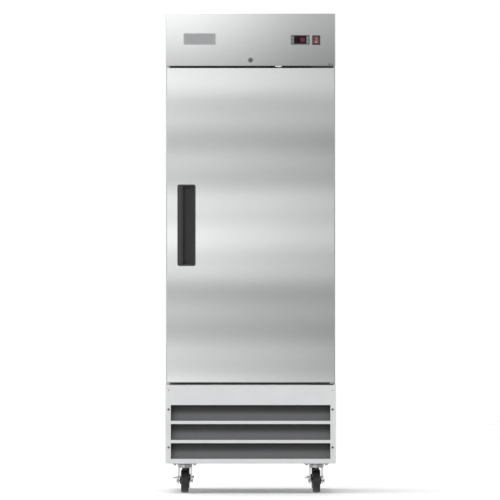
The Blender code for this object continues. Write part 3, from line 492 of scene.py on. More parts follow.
def brushed(name, along, colour, roughness, anisotropy, bow=None):
    """Sheet steel brushed along one axis: fine scratches, faint handling marks and maybe a bowed face."""
    finish = Finish(name, colour, roughness, 1.0)
    fine, wide = (tuple(share if axis == along else 1.0 for axis in "XYZ") for share in (0.012, 0.02))
    scratches = finish.noise(1400.0, 2.0, fine)
    marks = finish.noise(3.0, 1.0)
    mixed = finish.weighed(scratches, finish.noise(420.0, 2.0, wide), 0.5)
    finish.tint(mixed, times(colour, 0.97))
    finish.tint(marks, times(colour, 0.985), (0.2, 0.8))
    finish.dull(finish.weighed(mixed, marks, 0.6), roughness - 0.02, roughness + 0.02)
    height = finish.math("MULTIPLY", scratches, 0.00002)
    if bow:
        height = finish.math("ADD", height, finish.bowed(*bow))
    finish.bump(height, 1.0, 1.0)
    finish.set({"Anisotropic": anisotropy})
    finish.across_grain()
    return finish.material


def surface(name, colour, roughness, metallic, tints, gloss=None, relief=None, **sockets):
    """A finish from noises, each given by its numbers.

    The tints are (noise, colour, range), the gloss is (noise, less, more, range) and the relief is (noise,
    height, strength).
    """
    finish = Finish(name, colour, roughness, metallic)
    for noise, *tint in tints:
        finish.tint(finish.noise(*noise), *tint)
    if gloss:
        noise, less, more, *source = gloss
        finish.dull(finish.noise(*noise), roughness - less, roughness + more, *source)
    if relief:
        noise, height, strength = relief
        finish.bump(finish.noise(*noise), height, strength)
    finish.set(sockets)
    return finish.material


def satin_metal(name, colour, roughness, variation, scale=60.0):
    """A plated or plain metal surface with cloudy variation and fine pitting."""
    cloud = (scale,)
    tints = [(cloud, times(colour, variation))]
    return surface(name, colour, roughness, 1.0, tints, (cloud, 0.06, 0.08), ((1200.0,), 0.00003, 0.4))


def moulded(name, colour, roughness, grain, coarse=900.0, clear=0.0, haze=1.12):
    """Moulded plastic or paint with a fine grain, and slight wear in its gloss."""
    handling = (12.0, 4.0)
    coat = {"Coat Weight": clear, "Coat Roughness": 0.08} if clear else {}
    tints = [(handling, times(colour, haze, 0.002), (0.4, 0.75))]
    relief = ((coarse, 2.0), grain, 0.5)
    return surface(name, colour, roughness, 0.0, tints, (handling, 0.06, 0.07), relief, **coat)


def rubber(name, colour, roughness, dusty):
    """Rubber with a dull bloom and scuffs."""
    scuffs = (140.0, 5.0)
    tints = [((14.0,), times(colour, 1.3, 0.002), (0.45, 0.75)), (scuffs, dusty, (0.62, 0.8))]
    return surface(name, colour, roughness, 0.0, tints, (scuffs, 0.08, 0.1), (scuffs, 0.00012, 0.35))


def glowing(name, colour, light, strength, roughness=0.3):
    """Plastic lit from behind, a little uneven."""
    tints = [((180.0,), times(colour, 0.85))]
    lit = {"Emission Color": (*light, 1), "Emission Strength": strength}
    return surface(name, colour, roughness, 0.0, tints, **lit)


def galvanised():
    """Zinc-dipped sheet with its crystal spangle: each crystal a little lighter or duller than the next."""
    crystals = (120.0, 3.0, EVEN, CELLS)
    tints = [(crystals, (0.41, 0.415, 0.42), (0.1, 0.9)), ((9.0,), (0.435, 0.44, 0.443), (0.4, 0.7))]
    gloss = (crystals, 0.06, 0.1, (0.0, 1.0))
    return surface("galvanised", (0.47, 0.475, 0.478), 0.4, 0.95, tints, gloss, ((300.0,), 0.00003, 0.4))


def bright_zinc():
    """Bright zinc plate, bluish with a faint yellow cast in patches."""
    wear = (240.0, 5.0)
    tints = [((35.0,), (0.52, 0.505, 0.46), (0.45, 0.7)), (wear, (0.45, 0.455, 0.465), (0.55, 0.75))]
    return surface("zinc", (0.52, 0.53, 0.54), 0.3, 1.0, tints, (wear, 0.06, 0.12), (wear, 0.00004, 0.3))


def louver_paint_and_painted_shade():
    """Dark grey paint with painted shade: each blade is darkened towards its top, where it runs back under
    the rail above it.
    """
    colour = (0.116, 0.118, 0.121)
    finish = Finish("louver_paint_and_painted_shade", colour, 0.5)
    handling = finish.noise(12.0, 4.0)
    finish.tint(handling, times(colour, 1.05), (0.4, 0.75))
    blade_foot = OPENINGS[0][0] - 0.0015
    pitch = (OPENINGS[2][0] - OPENINGS[0][0]) / 2
    height = finish.split(finish.coordinates)["Z"]
    rise = finish.math("MODULO", finish.math("SUBTRACT", height, blade_foot), pitch)
    uneven = finish.math("MULTIPLY", finish.noise(20.0, 3.0, (0.2, 1, 1)), 0.005)
    # Painted shade: by its height within the blade pitch, the top of each blade is darkened to 0.42 of the
    # paint colour, with a slightly uneven edge.
    finish.tint(finish.math("ADD", rise, uneven), times(colour, 0.42), (0.031, 0.049))
    finish.dull(handling, 0.44, 0.57)
    finish.bump(finish.noise(900.0, 2.0), 0.00006, 0.5)
    return finish.material


def smoked_window():
    """Dark acrylic with an anti-glare face, lightly rubbed."""
    rubbed = (30.0,)
    tints = [(rubbed, (0.009, 0.008, 0.01))]
    return surface("smoked_window", (0.006, 0.005, 0.007), 0.14, 0.0, tints, (rubbed, 0.04, 0.06), IOR=1.15)


def foam_finish():
    """Sprayed polyurethane with its cells."""
    cells = (420.0, 3.0, EVEN, CELLS)
    tints = [((11.0,), (0.7, 0.56, 0.3))]
    return surface("foam", (0.8, 0.68, 0.4), 0.85, 0.0, tints, None, (cells, 0.0004, 0.5))


def copper_finish():
    """Drawn copper tube, browned in places."""
    brown = (45.0, 5.0)
    tints = [(brown, (0.42, 0.22, 0.15), (0.48, 0.72))]
    return surface("copper", (0.8, 0.42, 0.27), 0.28, 1.0, tints, (brown, 0.04, 0.17), (brown, 0.00004, 0.3))


# A sheet's middle height, its crown across and up the sheet, and its waves
DOOR_BOW = (0.88, 0.065, 0.0, DOOR_WAVES)
HEADER_BOW = (1.985, 0.15, 0.14, ())

# Each look's slot in the record and its material
LOOKS = {
    "door": ("stainless", brushed("stainless_door", "Z", (0.575, 0.588, 0.583), 0.21, 0.85, DOOR_BOW)),
    "case": ("stainless", brushed("stainless_case", "Z", (0.515, 0.515, 0.51), 0.27, 0.7)),
    "header": ("stainless", brushed("stainless_header", "Z", (0.55, 0.561, 0.556), 0.21, 0.8, HEADER_BOW)),
    "inside": ("stainless", brushed("stainless_inside", "Z", (0.62, 0.62, 0.62), 0.36, 0.45)),
    "badge": ("stainless", brushed("badge_plate", "X", (0.36, 0.365, 0.37), 0.32, 0.4)),
    "grille": ("grille_grey", moulded("grille_paint", (0.565, 0.57, 0.575), 0.42, 0.00006, haze=1.04)),
    "louver": ("louver_grey", louver_paint_and_painted_shade()),
    "galvanised": ("galvanised", galvanised()),
    "foam": ("foam", foam_finish()),
    "black_plastic": ("black_plastic", moulded("black_plastic", (0.02, 0.02, 0.021), 0.36, 0.00006)),
    "pull": ("black_plastic", moulded("pull_plastic", (0.019, 0.0185, 0.018), 0.38, 0.00008)),
    "bezel": ("grey_plastic", moulded("bezel_plastic", (0.085, 0.088, 0.09), 0.34, 0.00003, clear=0.2)),
    "button": ("grey_plastic", moulded("button_plastic", (0.2, 0.204, 0.208), 0.4, 0.00003)),
    "mark": ("black_plastic", moulded("printed_mark", (0.1, 0.1, 0.11), 0.5, 0.00001)),
    "white_plastic": ("white_plastic", moulded("white_plastic", (0.82, 0.82, 0.8), 0.38, 0.00004)),
    "rocker": ("red_plastic", glowing("rocker_plastic", (0.2, 0.042, 0.055), (0.9, 0.1, 0.14), 0.04)),
    "white_mark": ("white_plastic", moulded("white_mark", (0.85, 0.82, 0.82), 0.4, 0.00001)),
    "window": ("black_plastic", smoked_window()),
    "digits": ("red_plastic", glowing("lit_digits", (0.08, 0.005, 0.02), (1.0, 0.05, 0.2), 0.34)),
    "gasket": ("grey_rubber", rubber("gasket_rubber", (0.16, 0.16, 0.165), 0.6, (0.22, 0.22, 0.22))),
    # Painted shade: the grey of the strips in the door gaps stands for the shade in them.
    "gap_shade_seal": ("grey_rubber", rubber("gap_shade_seal_rubber", (0.15, 0.15, 0.151), 0.6, (0.17, 0.17, 0.17))),
    "tyre": ("black_rubber", rubber("tyre_rubber", (0.011, 0.011, 0.012), 0.42, (0.03, 0.03, 0.029))),
    "zinc": ("zinc", bright_zinc()),
    "screw": ("zinc", satin_metal("dark_screw", (0.17, 0.17, 0.18), 0.38, 0.7)),
    "chrome": ("chrome", satin_metal("chrome", (0.8, 0.8, 0.81), 0.14, 0.93)),
    "nickel": ("nickel", satin_metal("satin_nickel", (0.24, 0.24, 0.235), 0.3, 0.85)),
    "hinge": ("black_paint", satin_metal("blackened_steel", (0.085, 0.085, 0.088), 0.4, 0.85)),
    "aluminium": ("aluminium", satin_metal("aluminium", (0.76, 0.77, 0.78), 0.38, 0.88)),
    "fins": ("aluminium", satin_metal("coil_fins", (0.7, 0.71, 0.72), 0.45, 0.75, 30.0)),
    "copper": ("copper", copper_finish()),
    "black_paint": (
        "black_paint", moulded("black_paint", (0.022, 0.022, 0.023), 0.34, 0.0001, 260.0, clear=0.3)
    ),
    "diffuser": ("white_plastic", glowing("light_diffuser", (0.86, 0.87, 0.88), (1.0, 1.0, 1.0), 1.6, 0.45)),
}


# ---- Fasteners ----


def pan_screw(radius):
    """A pan-head screw that faces -Y, with a cross recess."""
    head = bmesh.new()
    thick = 0.55 * radius
    dome = ((0.98, 0.0), (1.0, -0.25), (0.86, -0.7), (0.55, -0.94), (0, -1.0))
    add_turned(head, "Y", (0, 0, 0), [(radius * wide, thick * high) for wide, high in dome], 20)
    slot, reach = 0.16 * radius, 0.55 * radius
    depth = (-2 * thick, -0.45 * thick)
    cutters = [block(both(x), depth, both(z)) for x, z in ((reach, slot), (slot, reach))]
    return mesh_of(carved(head, cutters, "screw"), "screw")


def hex_bolt(radius):
    """A hexagon bolt head on a washer, standing on +Z."""
    head = bmesh.new()
    for sides, profile in (
        (24, ((1.3, 0), (1.3, 0.12), (1.0, 0.14))),
        (6, ((1.0, 0.1), (1.0, 0.85), (0.9, 0.935))),
    ):
        add_turned(head, "Z", (0, 0, 0), [(wide * radius, high * radius) for wide, high in profile], sides)
    return mesh_of(head, "bolt")


SMALL_SCREW = pan_screw(0.0034)
PANEL_SCREW = pan_screw(0.005)
RIVET = pan_screw(0.0021)
PLATE_BOLT = hex_bolt(0.0062)
FACING = {"-Y": Matrix.Identity(4), "+Y": Matrix.Rotation(math.pi, 4, "Z")}
SCREW_TURN = 0.7


def screws(name, places, facing, look="zinc", mesh=SMALL_SCREW, body="cabinet"):
    """A group of screws whose heads all face one way, each turned a little differently."""
    shape = bmesh.new()
    for k, place in enumerate(places):
        turn = Matrix.Rotation(SCREW_TURN * k, 4, "Y")
        stamp(shape, mesh, Matrix.Translation(place) @ FACING[facing] @ turn)
    piece(name, shape, look, body, crease=30)


# ---- Cabinet shell ----

CASE_X, CASE_Y, CASE_Z = spans("outer_casing")
GRILLE_X, GRILLE_Y, GRILLE_Z = spans("grille_panel")
HEADER_X, HEADER_Y, HEADER_Z = spans("header_panel")
DOOR_X, DOOR_Y, DOOR_Z = spans("door_skin")
FACE = DOOR_Y[0]
DECK = GRILLE_Z[1]


def bracket_slot(bracket, edge_z):
    """The notch where a hinge bracket's upright leg passes a panel's edge."""
    x, y, _ = spans(bracket)
    return block(shrunk(x, -0.004), (y[1] - 0.011, y[1] + BEYOND), about(edge_z, BEYOND))


def sheet_pan(name, x, y, z, cutters, edge=EDGE_ROUND, segments=3):
    """A pan of sheet metal with rolled edges, open at the back, and with the cutters taken away."""
    hollow = block(shrunk(x, SHEET), (FACE + SHEET, y[1] + BEYOND), shrunk(z, SHEET), edge - SHEET)
    return carved(block(x, y, z, edge, segments), [hollow, *cutters], name)


def casing():
    """Wrap of the cabinet with rolled corners, open to the machine compartment below."""
    inside_x = shrunk(CASE_X, SHEET)
    front = (DECK + CASE_RETURN, CASE_Z[1] - CASE_RETURN)
    cutters = [
        block(inside_x, shrunk(CASE_Y, SHEET), (DECK + SHEET, CASE_Z[1] - SHEET), EDGE_ROUND - SHEET),
        block(shrunk(CASE_X, CASE_RETURN), about(CASE_Y[0], BEYOND), front),
        block(inside_x, shrunk(CASE_Y, -BEYOND), (CASE_Z[0] - BEYOND, DECK)),
    ]
    shape = carved(block(CASE_X, CASE_Y, CASE_Z, EDGE_ROUND, 3), cutters, "casing")
    piece("casing_shell", shape, "case", replaces=["outer_casing"])


def back_sheet():
    """The screwed-on back sheet, with a pressed border, and its screws."""
    back = CASE_Y[1]
    margin, screw_margin, border, proud, seat = 0.016, 0.015, 0.06, 0.003, 0.0012
    x = shrunk(CASE_X, margin)
    z = (DECK + margin, CASE_Z[1] - margin)
    shape = bmesh.new()
    add_frame(shape, x, z, back, [
        (0.0, -SHEET / 2), (0.0, 0.0006), (0.0008, seat), (0.03, seat), (0.034, 0.0028), (0.036, proud),
        (border, proud), (border, -SHEET / 2),
    ])
    inner = border - 0.0005
    add_block(shape, shrunk(x, inner), (back - SHEET / 2, back + proud), shrunk(z, inner))
    piece("back_sheet", shape, "galvanised")
    screw_x, screw_z = shrunk(x, screw_margin), shrunk(z, screw_margin)
    places = [(across, back + seat, height) for height in evenly(screw_z, 7) for across in screw_x]
    places += [(across, back + seat, height) for across in evenly(screw_x, 5)[1:-1] for height in screw_z]
    screws("back_sheet_screws", places, "+Y", mesh=PANEL_SCREW)


def header():
    """Header box with rolled edges and the cut-outs for its controls."""
    lock_x, _, lock_z = spans("lock_barrel")
    barrel = (lock_x[1] - lock_x[0]) / 2 - 0.0017
    cutters = [
        bracket_slot("upper_hinge_bracket", HEADER_Z[0]),
        cut_rod("Y", (middle(lock_x), FACE, middle(lock_z)), barrel, 4 * SHEET),
    ]
    for node, margin_x, margin_z in (("controller_housing", 0.002, 0.0065),
                                     ("rocker_switch_housing", 0.0035, 0.0027)):
        x, _, z = spans(node)
        cutters.append(block(shrunk(x, margin_x), about(FACE, BEYOND), shrunk(z, margin_z)))
    switch_x, switch_y, _ = spans("door_switch_housing")
    cutters.append(block(shrunk(switch_x, 0.0025), shrunk(switch_y, 0.002), about(HEADER_Z[0], BEYOND)))
    shape = sheet_pan("header", HEADER_X, HEADER_Y, HEADER_Z, cutters)
    piece("header_shell", shape, "header", replaces=["header_panel"])
    places = [(HEADER_X[1] - offset, FACE, HEADER_Z[0] + 0.0075) for offset in (0.015, 0.026)]
    screws("header_screws", places, "-Y", "screw")


def badge():
    """A blank plate where a maker would put a mark: a raised rim round a plain field, on two rivets."""
    x, z, thick = about(-0.221, 0.07), about(1.974, 0.025), 0.0014
    plate = bmesh.new()
    add_prism(plate, "Y", rounded_rectangle(x, z, 0.006), FACE - thick, FACE, 0.0005)
    piece("badge_field", plate, "badge")
    rim = bmesh.new()
    outline = rounded_rectangle(shrunk(x, 0.0022), shrunk(z, 0.0022), 0.0045)
    add_tube(rim, [(px, FACE - thick, pz) for px, pz in outline], 0.0008, 6, closed=True)
    for centre_x in about(middle(x), 0.06):
        rivet = mm((0, -1.2), (1.4, -0.9), (2.1, 0), (2.1, 0.4))
        add_turned(rim, "Y", (centre_x, FACE - 0.0016, middle(z)), rivet, 16)
    piece("badge_rim", rim, "chrome")


# ---- Header controls ----


def controller():
    """Thermostat bezel with a soft bulge, its dark window, lit digits and buttons."""
    x, y, z = spans("controller_housing")
    front = y[0]
    rings = []
    for inset_x, inset_z, depth in ((0.0, 0.0, FACE), (0.0004, 0.0004, front + 0.0016),
                                    (0.0014, 0.001, front + 0.0004), (0.003, 0.002, front)):
        outline = rounded_rectangle(shrunk(x, inset_x), shrunk(z, inset_z), 0.006 - 0.5 * inset_x)
        rings.append([(px, depth, pz) for px, pz in outline])
    bezel = bmesh.new()
    loft(bezel, rings)
    bmesh.ops.recalc_face_normals(bezel, faces=bezel.faces)
    add_block(bezel, shrunk(x, 0.0028), (FACE - GAP, y[1]), shrunk(z, 0.0075))
    window_x, window_z, recess = about(middle(x), 0.0262), about(middle(z), 0.0172), front + 0.0012
    cutters = [block(window_x, (front - BEYOND, recess), window_z, 0.0008)]
    for level, side in BUTTONS:
        span_x, _, span_z = spans(f"set_button_{level}_{side}")
        pocket = (front - BEYOND, FACE + 0.0011)
        cutters.append(block(shrunk(span_x, -GAP), pocket, shrunk(span_z, -GAP)))
    shape = carved(bezel, cutters, "bezel")
    piece("controller_bezel", shape, "bezel", replaces=["controller_housing"], crease=35)

    pane = front + 0.0003
    window = block(shrunk(window_x, 0.0002), (pane, recess), shrunk(window_z, 0.0002), 0.0003)
    piece("controller_window", window, "window")
    display(middle(x) + 0.0085, middle(z), pane)
    for level, side in BUTTONS:
        button_mark(level, side)


# The middle of each segment, in half widths and quarter heights of a figure, and whether it lies flat
SEGMENTS = {
    "top": (0, 2, True),
    "upper_left": (-1, 1, False),
    "upper_right": (1, 1, False),
    "centre": (0, 0, True),
    "lower_left": (-1, -1, False),
    "lower_right": (1, -1, False),
    "bottom": (0, -2, True),
}
THREE = ("top", "upper_right", "centre", "lower_right", "bottom")
EIGHT = tuple(SEGMENTS)


def display(x, z, front):
    """Two lit seven-segment figures and two status lamps, on the window's face."""
    shape = bmesh.new()
    half_width, quarter_height, thick, trim, proud = 0.0036, 0.0039, 0.0008, 0.0007, 0.0002
    for place, figure in enumerate((THREE, EIGHT)):
        centre = x + (place - 0.5) * 3.1 * half_width
        for segment in figure:
            aside, up, flat = SEGMENTS[segment]
            reach_x, reach_z = (half_width - trim, thick) if flat else (thick, quarter_height - trim)
            span_x = about(centre + aside * half_width, reach_x)
            span_z = about(z + up * quarter_height, reach_z)
            add_block(shape, span_x, about(front, proud), span_z, 0.00015, 1)
    for height in about(z, 0.008):
        lamp_dome = mm((0, -0.3), (0.6, -0.2), (0.8, 0.1))
        add_turned(shape, "Y", (x - 0.024, front, height), lamp_dome, 12)
    piece("controller_digits", shape, "digits")


def button_mark(level, side):
    """A button's rounded edges and pictogram: arrows on the left, a set ring and a lamp bar on the right."""
    node = f"set_button_{level}_{side}"
    finish_node(node, "button", 0.0005, 30)
    x, y, z = spans(node)
    shape = bmesh.new()
    face = (y[0] - 0.00012, y[0] + 0.0002)
    if side == "left":
        way = 1 if level == "upper" else -1
        arrow = mm((-2.4, -1.6), (2.4, -1.6), (0, 2.2))
        add_prism(shape, "Y", [(middle(x) + px, middle(z) + way * pz) for px, pz in arrow], *face)
    elif level == "upper":
        add_ring(shape, (middle(x), y[0], middle(z)), 0.002, 0.0003, 20)
    else:
        add_block(shape, about(middle(x), 0.0022), face, about(middle(z), 0.0005))
    piece(f"button_mark_{level}_{side}", shape, "mark", f"{level}_{side}_button")


def pivot_of(body):
    """Where the joint of a moving body stands."""
    return Vector(next(joint for joint in frame["joints"] if joint["child"] == body)["pos_m"])


def rocker():
    """Lighted rocker with a hollow face and its on and off marks."""
    pivot = pivot_of("rocker")
    tilt = Matrix.Translation(pivot) @ Matrix.Rotation(math.radians(-10), 4, "X") @ Matrix.Translation(-pivot)
    half, back, lip = 0.0142, 0.004, -0.0036
    outline = [(back, half), (lip, half)]
    for height in evenly((half, -half), 13):
        outline.append((-0.0043 + 0.0012 * math.cos(height / half * math.pi / 2), height))
    outline += [(lip, -half), (back, -half)]
    shape = bmesh.new()
    width = spans("power_rocker")[0]
    add_prism(shape, "X", [(pivot.y + py, pivot.z + pz) for py, pz in outline], *width, 0.0004)
    bmesh.ops.transform(shape, matrix=tilt, verts=shape.verts)
    piece("rocker_cap", shape, "rocker", "rocker", ["power_rocker"], 35)
    marks = bmesh.new()
    surface_y, apart = pivot.y - 0.0041, 0.0085
    add_block(marks, about(pivot.x, 0.0006), (surface_y, surface_y + 0.0006), about(pivot.z + apart, 0.003))
    add_ring(marks, (pivot.x, surface_y + 0.0003, pivot.z - apart), 0.0028, 0.0005, 24)
    bmesh.ops.transform(marks, matrix=tilt, verts=marks.verts)
    piece("rocker_marks", marks, "white_mark", "rocker")


# ---- Door ----


def door_leaf():
    """Door pan with rolled edges, its pull pocket and its two pin bores, and the pull's rolled grip."""
    x, y, z = spans("door_handle")
    hinge = [middle(span) for span in spans("lower_hinge_pin")[:2]]
    pocket = block(shrunk(x, 0.0047), about(FACE, BEYOND), shrunk(z, 0.0047))
    bores = [cut_rod("Z", (*hinge, height), 0.0055, 6 * SHEET) for height in DOOR_Z]
    shape = sheet_pan("door", DOOR_X, DOOR_Y, DOOR_Z, [pocket, *bores], DOOR_ROUND, 4)
    piece("door_pan", shape, "door", "door", ["door_skin"])
    grip = bmesh.new()
    outline = arc((x[0] + 0.0145, y[0]), (-0.0085, -0.0013), 0, 180, 12)
    outline += [(x[0] + 0.023, y[0] + 0.0006), (x[0] + 0.006, y[0] + 0.0006)]
    add_prism(grip, "Z", outline, *shrunk(z, 0.0085))
    piece("handle_grip", grip, "pull", "door", crease=60)


def door_inside():
    """The raised pan of the door's inner sheet, and the pleated gasket in its channel."""
    x, y, z = spans("door_gasket")
    sheet_back = spans("door_liner")[1][1]
    margin, rise, root, slope = GASKET_WIDTH + 0.014, 0.0065, 0.0004, 0.02
    pan_x, pan_z = shrunk(x, margin), shrunk(z, margin)
    pan = bmesh.new()
    add_frame(pan, pan_x, pan_z, sheet_back, [
        (0.0, -root), (0.0, root), (0.002, 0.0012), (0.008, rise - 0.001), (0.01, rise), (slope, rise),
        (slope, -root),
    ])
    inner = slope - 0.0001
    add_block(pan, shrunk(pan_x, inner), (sheet_back - root, sheet_back + rise), shrunk(pan_z, inner))
    piece("door_inner_pan", pan, "inside", "door")

    gasket = bmesh.new()
    depth = y[1] - y[0]
    pleats = (
        (0.002, 0.0), (0.0008, 0.14), (0.0036, 0.26), (0.0008, 0.4), (0.0036, 0.54), (0.0012, 0.7),
        (0.0022, 0.9), (0.005, 1.0), (0.009, 0.97), (0.0112, 0.86),
    )
    profile = [(inset, depth * share) for inset, share in pleats]
    profile += [(GASKET_WIDTH - inset, depth * share) for inset, share in reversed(pleats)]
    add_frame(gasket, x, z, y[0], profile)
    piece("gasket_bellows", gasket, "gasket", "door", ["door_gasket"], 28)
    heights = evenly(shrunk(pan_z, 0.01), 5)
    places = [(across, sheet_back, height) for height in heights for across in shrunk(pan_x, -0.006)]
    screws("door_liner_screws", places, "+Y", body="door")


# ---- Grille panel ----


def grille():
    """Front grille panel with rolled edges round its three openings, its screws, and grey rubber strips in
    the gaps above and below the door as painted shade.
    """
    cutters = [bracket_slot("lower_hinge_bracket", GRILLE_Z[1])]
    cutters += [block(both(OPENING_X), about(FACE, BEYOND), opening) for opening in OPENINGS]
    shape = sheet_pan("grille", GRILLE_X, GRILLE_Y, GRILLE_Z, cutters)
    lip, fold = 0.005, 0.0006
    for opening in OPENINGS:
        add_frame(shape, both(OPENING_X), opening, FACE, [
            (0.0, 0.0002), (-fold, SHEET), (-fold, lip), (fold, lip), (fold, 0.001),
        ])
    piece("grille_shell", shape, "grille", replaces=["grille_panel"])
    column = both(0.356)
    places = [(across, FACE, height) for across in column for height in (0.365, 0.2)]
    screws("grille_screws", places, "-Y", "screw", PANEL_SCREW)
    screws("grille_rivets", [(across, FACE, 0.449) for across in column], "-Y", "screw", RIVET)
    # Painted shade: grey rubber strips set in the gaps above and below the door, standing for the shade in
    # those gaps.
    gap_shade_seal = bmesh.new()
    for z in ((GRILLE_Z[1] + 0.0016, DOOR_Z[0] - 0.0018), (DOOR_Z[1] + 0.0018, HEADER_Z[0] - 0.0004)):
        add_block(gap_shade_seal, (-0.352, 0.2684), (CASE_Y[0] - 0.01, CASE_Y[0]), z, 0.0012)
    piece("gap_shade_seals", gap_shade_seal, "gap_shade_seal")


def louvers():
    """One long curved blade behind each opening, low edge forward, in a rail at each end."""
    x, y, z = spans("louver_insert")
    shape = bmesh.new()
    for side in SIDES:
        add_block(shape, sided(side, x[1], x[1] - 0.002), y, z, 0.0006, 1)
    front, back = shrunk(y, 0.004)
    thick = 0.7 * 0.0012
    for low, high in OPENINGS:
        outline = []
        for share in evenly((0, 1), 11):
            rise = 0.12 * share + 0.88 * share * share
            outline.append((front + (back - front) * share, low - 0.002 + (high + 0.0015 - low) * rise))
        hem = [(y[0] + 0.0052, low - 0.007), (front, low - 0.007)]
        inner = [(py + thick, pz - thick) for py, pz in outline]
        add_prism(shape, "X", hem + outline + inner[::-1], -x[1] + 0.001, x[1] - 0.001)
    piece("louver_blades", shape, "louver", replaces=["louver_insert"], crease=25)


# ---- Inside ----


def slotted_standards():
    """The four shelf standards' faces: a slotted strip over a black sheet that is painted shade for the
    hollow behind the slots.
    """
    z = (0.5605, 1.7695)
    wall, slot_high, slot_wide = 0.297, 0.0062, 0.0035
    strips, shade_channels = bmesh.new(), bmesh.new()
    slots = int((z[1] - z[0]) / STANDARD_PITCH)
    edges = [z[0]]
    for height in evenly(about(middle(z), STANDARD_PITCH * (slots - 1) / 2), slots):
        edges += about(height, slot_high)
    edges.append(z[1])
    for side in SIDES:
        face = sided(side, wall - 0.0012, wall - 0.0005)
        for y in STANDARD_YS:
            for way in SIDES:
                add_block(strips, face, sorted((y + way * slot_wide, y + way * STANDARD_HALF)), z)
            for low, high in zip(edges[::2], edges[1::2]):
                add_block(strips, face, about(y, slot_wide + 0.0001), (low, high))
            back = sided(side, wall - 0.0004, wall + 0.0002)
            # Painted shade: a black sheet just behind each strip's slots, standing for the shade in the
            # channel's hollow.
            add_block(shade_channels, back, about(y, STANDARD_HALF - 0.001), shrunk(z, 0.001))
    piece("shelf_standards", strips, "inside")
    piece("standard_shade_channels", shade_channels, "black_paint")


def shelf(node):
    """Wire shelf: a rod frame with round corners, three cross rods and fine wires with turned-down ends."""
    x, y, z = spans(node)
    rod, wire = 0.0036, 0.002
    top = z[1] - wire
    level = top - wire - rod
    shape = bmesh.new()
    outline = rounded_rectangle(shrunk(x, rod), shrunk(y, rod), 0.012)
    add_tube(shape, [(*point, level) for point in outline], rod, 8, closed=True)
    for place in evenly(y, 5)[1:-1]:
        add_tube(shape, [(across, place, level) for across in shrunk(x, rod)], rod - 0.0006, 8)
    front, back = shrunk(y, wire)
    for across in evenly(shrunk(x, 0.014), 27):
        route = [(across, front, level - 0.001), (across, front, top)]
        route += [(across, back, top), (across, back, level - 0.001)]
        add_tube(shape, rounded(route, 0.0035, 2), wire, 6)
    piece(f"wire_{node}", shape, "chrome", replaces=[node])


# A clip's plate, tongue, hook and rib: range out from the middle, half depth, range up from the shelf, edge
CLIP = (
    ((0.2965, 0.2945), 0.007, (-0.02, 0.006), 0.0006),
    ((0.296, 0.28), 0.007, (-0.003, -0.001), 0.0006),
    ((0.282, 0.28), 0.007, (-0.003, 0.0035), 0.0006),
    ((0.296, 0.286), 0.001, (-0.016, -0.002), 0.0003),
)


def shelf_clips():
    """Four hooked clips under each shelf, in the standards' slots."""
    shape = bmesh.new()
    for node in SHELVES:
        foot = spans(node)[2][0]
        for side in SIDES:
            for y in STANDARD_YS:
                for out, half, (low, high), edge in CLIP:
                    add_block(shape, sided(side, *out), about(y, half), (foot + low, foot + high), edge)
    piece("shelf_clips", shape, "zinc")


def lamp():
    """Lamp strip: a white body with a ribbed half-round diffuser and end caps."""
    x, y, z = spans("interior_light")
    base = z[1] - 0.004
    body = block(x, y, (base, z[1]), 0.0006)
    for side in SIDES:
        add_block(body, sided(side, x[1], x[1] - 0.006), y, z, 0.0015, 3)
    piece("lamp_body", body, "white_plastic", replaces=["interior_light"])
    diffuser = bmesh.new()
    half = (y[1] - y[0]) / 2 - 0.0012
    smooth = arc((middle(y), 0), (half, -0.0115), 0, 180, 24)
    outline = [(py, base + drop * (1 + 0.018 * (k % 2))) for k, (py, drop) in enumerate(smooth)]
    add_prism(diffuser, "X", outline, x[0] + 0.0055, x[1] - 0.0055)
    piece("lamp_diffuser", diffuser, "diffuser", crease=60)


def spoke(centre, reach, angle, forward):
    """A point off an axis along Y, by its distance and angle round it."""
    return Vector(centre) + Vector((reach * math.cos(angle), forward, reach * math.sin(angle)))


def fan_guard(name, centre, radius):
    """Wire guard of rings and spokes in front of a fan, with its feet."""
    shape = bmesh.new()
    rings, spokes, feet, dish = 7, 8, 4, 0.0035
    for k in range(1, rings + 1):
        share = k / rings
        add_ring(shape, spoke(centre, 0, 0, dish * share ** 3), radius * share, 0.001, 56)
    for k in range(spokes):
        angle = math.pi * (2 * k + 1) / spokes
        reaches = evenly((0.12, 1.04), 5)
        route = [spoke(centre, radius * reach, angle, 0.0012 + dish * reach ** 3) for reach in reaches]
        add_tube(shape, route, 0.0012, 6)
    for k in range(feet):
        angle = math.pi * (2 * k + 1) / feet
        add_rod(shape, "Y", spoke(centre, 1.05 * radius, angle, 0.0045), 0.0045, 0.003, 16)
    piece(name, shape, "chrome")


